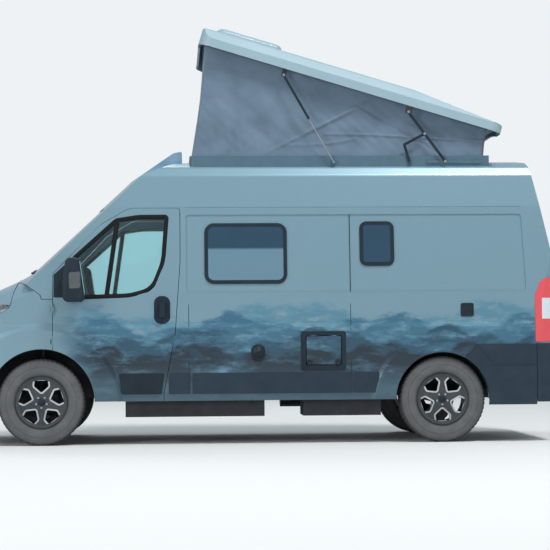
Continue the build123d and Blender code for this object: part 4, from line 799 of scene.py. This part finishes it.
# %% Locks, caps and bolt heads
LOCK = [(0.0005, -0.002), (0.026, -0.002), (0.026, 0.004), (0.022, 0.007), (0.012, 0.007), (0.010, 0.004),
        (0.0005, 0.004)]
FILLER = [(0.0005, 0.0), (0.048, 0.0), (0.048, 0.010), (0.040, 0.016), (0.012, 0.016), (0.010, 0.024),
          (0.0005, 0.024)]
locks = [turned(LOCK, (x, -1.0215, 0.697), (0, -1, 0)) for x in (0.540, 0.787)]
piece("hatch_locks", locks, "hatch", trim_plastic)
filler = turned(FILLER, (0.098, -1.022, 0.790), (0, -1, 0), 48)
piece("water_filler_cap", [filler], "body", trim_plastic)
inlet = on_flank(dense(rounded(rectangle(1.859, 1.964, 1.087, 1.196, 0.01)), 0.01), -1, 0.004)
piece("inlet_edge", [swept(inlet, strip_section(0.008, 0.003), (0, -1, 0), True)], "body", trim_plastic)

BOLT = [(0.0005, -0.001), (0.0125, -0.001), (0.0125, 0.003), (0.010, 0.0055), (0.0005, 0.0055)]


def bolt_heads(name, place, y, body):
    """The same bolt head on both sides, at a side-view place."""
    grids = [turned(BOLT, (place[0], sign * y, place[1]), (0, sign, 0), 16) for sign in (-1, 1)]
    return piece(name, grids, body, zinc_steel, smooth=False)


# Pins of the roof's links: the upper ones open with the shell, and the arm's foot stays on its rail
ARM_LENGTH, KNEE_SHARE, RAIL_PIN_Z = 0.540, 0.44, 2.446
arm_top = with_roof(1.421, 2.414)
strut_top = with_roof(0.2805, 2.412)
arm_foot = (arm_top[0] + math.sqrt(ARM_LENGTH**2 - (arm_top[1] - RAIL_PIN_Z) ** 2), RAIL_PIN_Z)
knee = [top + KNEE_SHARE * (foot - top) for top, foot in zip(arm_top, arm_foot)]
bolt_heads("lug_bolts", arm_top, 0.846, "roof")
bolt_heads("knee_bolts", knee, 0.828, "knee_link")
bolt_heads("rail_bolts", arm_foot, 0.828, "lift_arm")
bolt_heads("strut_bolts", strut_top, 0.842, "strut_tube")
print("fittings made")

# %% [markdown]
# The mirrors have silvered glass at the back and a clear repeater at the front. The glass is a slightly
# domed plate: a flat grid whose middle stands out by 2 mm. The wipers lie on the bowed windscreen.


# %% Mirrors and wipers
def domed(low, high, rise):
    """Grid over a rectangle of Y and Z. X is the rise times one minus half the squares of both places, which
    run from minus one to one."""
    a = np.linspace(-1, 1, 13)[:, None] + np.zeros((1, 13))
    b = a.T
    u = low[0] + (a + 1) / 2 * (high[0] - low[0])
    v = low[1] + (b + 1) / 2 * (high[1] - low[1])
    return np.stack([rise * (1 - 0.5 * a**2 - 0.5 * b**2), u, v], -1)


# The mirror's back leans: its X grows by this much over this height, downwards from its top
MIRROR_X, MIRROR_LEAN, MIRROR_HEIGHT, MIRROR_TOP_Z = -1.425, 0.053, 0.375, 1.601
for side, (body, sign) in CAB_DOORS.items():
    y0, y1 = sorted((sign * 1.085, sign * 1.232))
    glass = domed((y0, 1.29), (y1, 1.57), 0.002)
    glass[..., 0] += MIRROR_X + MIRROR_LEAN * (MIRROR_TOP_Z - glass[..., 2]) / MIRROR_HEIGHT + 0.001
    piece(f"mirror_glass_{side}", [(glass, False, False, False)], body, mirror_glass)
    lens = on_flank(dense(rounded(rectangle(-1.510, -1.411, 1.333, 1.482, 0.02)), 0.01), sign)
    lens[:, 1] = sign * 1.2535
    centre = lens.mean(0)
    t = np.linspace(0.02, 1, 8)[:, None, None]
    patch = centre + (lens[None] - centre) * t
    patch[..., 1] += sign * 0.004 * (1 - t[..., 0] ** 2)
    piece(f"repeater_lens_{side}", [(patch, False, True, False)], body, clear_lens)

SCREEN_AT = Vector((-1.930, 0, 1.462))
SCREEN_RISE = math.atan2(2.264 - 1.462, -1.060 + 1.930)
SCREEN_BOW_R, SET_IN = 5.8, 0.008


def on_screen(y, up):
    """Place on the bowed windscreen: up its slope from the lower edge, and inwards by its bow."""
    drop = SCREEN_BOW_R - math.sqrt(SCREEN_BOW_R**2 - y**2) + SET_IN
    x = SCREEN_AT.x + up * math.cos(SCREEN_RISE) + drop * math.sin(SCREEN_RISE)
    z = SCREEN_AT.z + up * math.sin(SCREEN_RISE) - drop * math.cos(SCREEN_RISE)
    return x, y, z


blades = []
outward = (-math.sin(SCREEN_RISE), 0, math.cos(SCREEN_RISE))
for start, end in ((-0.62, 0.02), (0.06, 0.66)):
    line = [on_screen(y, 0.075 + 0.05 * (y - start)) for y in np.linspace(start, end, 20)]
    blades.append(swept(line, strip_section(0.014, 0.016, 0.0), outward))
    arm = [on_screen(y, 0.045 + 0.05 * (y - start)) for y in np.linspace(start + 0.30, end - 0.02, 12)]
    blades.append(swept(arm, strip_section(0.016, 0.022, 0.0), outward))
piece("wiper_blades", blades, "body", trim_plastic)
print("mirrors and wipers made")

# %% [markdown]
# Plates, the tail door's handle and the high brake lamp are flat strips laid on the body's two ends. The
# plates stay blank.

# %% Ends of the body
# Columns: name, body, material, slot, direction outwards, start, end, strip width, strip height
END_STRIPS = [
    ("rear_plate_holder", "rear_door_l", trim_plastic, "black_plastic", (1, 0, 0),
     (2.688, -0.632, 0.93), (2.688, -0.088, 0.93), 0.126, 0.004),
    ("rear_plate", "rear_door_l", blank_plate, "body_paint", (1, 0, 0),
     (2.692, -0.620, 0.93), (2.692, -0.100, 0.93), 0.112, 0.002),
    ("front_plate_holder", "body", trim_plastic, "black_plastic", (-1, 0, 0),
     (-2.7065, -0.272, 0.700), (-2.7065, 0.272, 0.700), 0.118, 0.004),
    ("front_plate", "body", blank_plate, "body_paint", (-1, 0, 0),
     (-2.7105, -0.260, 0.700), (-2.7105, 0.260, 0.700), 0.110, 0.002),
    ("rear_handle_plate", "rear_door_l", trim_plastic, "black_plastic", (1, 0, 0),
     (2.688, -0.066, 1.055), (2.688, -0.066, 1.225), 0.056, 0.006),
    ("rear_handle_grip", "rear_door_l", trim_plastic, "black_plastic", (1, 0, 0),
     (2.694, -0.066, 1.080), (2.694, -0.066, 1.200), 0.024, 0.022),
    ("high_brake_lamp", "body", red_lens, "lamp_red", (0.978, 0, 0.21),
     (2.4906, -0.17, 2.405), (2.4906, 0.17, 2.405), 0.030, 0.012),
]
for name, body, material, slot, outwards, start, end, width, height in END_STRIPS:
    strip = swept(np.linspace(start, end, 5), strip_section(width, height), outwards)
    piece(name, [strip], body, material, smooth=False)

REAR_PANE = [(-0.690, 1.480, 0.06), (-0.110, 1.480, 0.06), (-0.110, 2.110, 0.06), (-0.660, 2.110, 0.06)]
# The tail stands upright to 1.5 m and leans forward above
for side, body, sign in (("left", "rear_door_l", 1), ("right", "rear_door_r", -1)):
    outline = drawn_in(dense(rounded(REAR_PANE), 0.02), 0.006)
    lean = np.interp(outline[:, 1], [1.50, 2.25, 2.35], [2.688, 2.525, 2.503])
    line = np.stack([lean, sign * outline[:, 0], outline[:, 1]], -1)
    piece(f"rear_window_seal_{side}", [swept(line, strip_section(0.026, 0.004), (1, 0, 0.2), True)], body,
          seal_rubber)
print("plates, handle, brake lamp and window seals made")

# %% [markdown]
# The studio is plain: a pale floor, a pale world that the camera sees a little whiter, also through glass,
# and large soft lamps. The camera stands where the picture was taken from, far off with a long lens.

# %% Floor, light and camera
floor_mesh = bpy.data.meshes.new("floor")
floor_mesh.from_pydata([(-40, -40, 0), (40, -40, 0), (40, 40, 0), (-40, 40, 0)], [], [(0, 1, 2, 3)])
floor = in_scene("floor", floor_mesh)
# Matt paint, so that the floor shows soft shadows and no reflections
floor_paint = start_material("pale_studio_floor", "#e2e3e1", 0.8)
floor_mesh.materials.append(floor_paint)

world = bpy.data.worlds.new("soft_studio")
bpy.context.scene.world = world
world.use_nodes = True
tree = world.node_tree
rays = add(tree, "LightPath")
seen = add(tree, "Math", {0: rays.outputs["Is Camera Ray"], 1: rays.outputs["Is Transmission Ray"]},
           operation="MAXIMUM")
back = tree.nodes["Background"]
back.inputs["Color"].default_value = linear("#dfe8ef")
back.inputs["Strength"].default_value = 0.62
white = add(tree, "Background", values={"Color": linear("#eef2f5"), "Strength": 1.0})
choose = add(tree, "MixShader", {0: seen.outputs[0], 1: back.outputs[0], 2: white.outputs[0]})
tree.links.new(choose.outputs[0], tree.nodes["World Output"].inputs["Surface"])


def lamp(name, place, aim, size, power):
    """Round lamp at a place, turned towards its aim. Its size is in metres and its power in watts."""
    light = bpy.data.lights.new(name, "AREA")
    light.shape = "DISK"
    light.size = size
    light.energy = power
    obj = in_scene(name, light)
    turn = (Vector(aim) - Vector(place)).to_track_quat("-Z", "Y")
    obj.matrix_world = Matrix.Translation(place) @ turn.to_matrix().to_4x4()


lamp("key", (5, -7, 15.5), (0, 0, 1.4), 4, 1850)
lamp("fill", (-14, -15, 7), (0, 0, 1.4), 8, 1400)
lamp("rim", (-3, 10, 13), (0, 0, 1.5), 7, 400)

# Yaw, pitch and roll are radians; the focal length is in pixels of a picture of that many pixels
CAMERA_AT = (-0.6353, -17.5, 0.8849)
YAW, PITCH, ROLL, FOCAL_PX, FRAME_PX = 0.05352, 0.03421, -0.00709, 1918.2, 550
camera = bpy.data.cameras.new("camera")
camera.sensor_width = 36.0
camera.lens = FOCAL_PX / FRAME_PX * camera.sensor_width
camera.clip_end = 200.0
viewer = in_scene("camera", camera)
ahead = Vector((math.sin(YAW) * math.cos(PITCH), math.cos(YAW) * math.cos(PITCH), math.sin(PITCH)))
right0 = Vector((math.cos(YAW), -math.sin(YAW), 0))
up0 = right0.cross(ahead)
right = right0 * math.cos(ROLL) + up0 * math.sin(ROLL)
up = up0 * math.cos(ROLL) - right0 * math.sin(ROLL)
viewer.matrix_world = Matrix.Translation(CAMERA_AT) @ Matrix((right, up, -ahead)).transposed().to_4x4()
bpy.context.scene.camera = viewer
bpy.context.scene.view_settings.view_transform = "Standard"
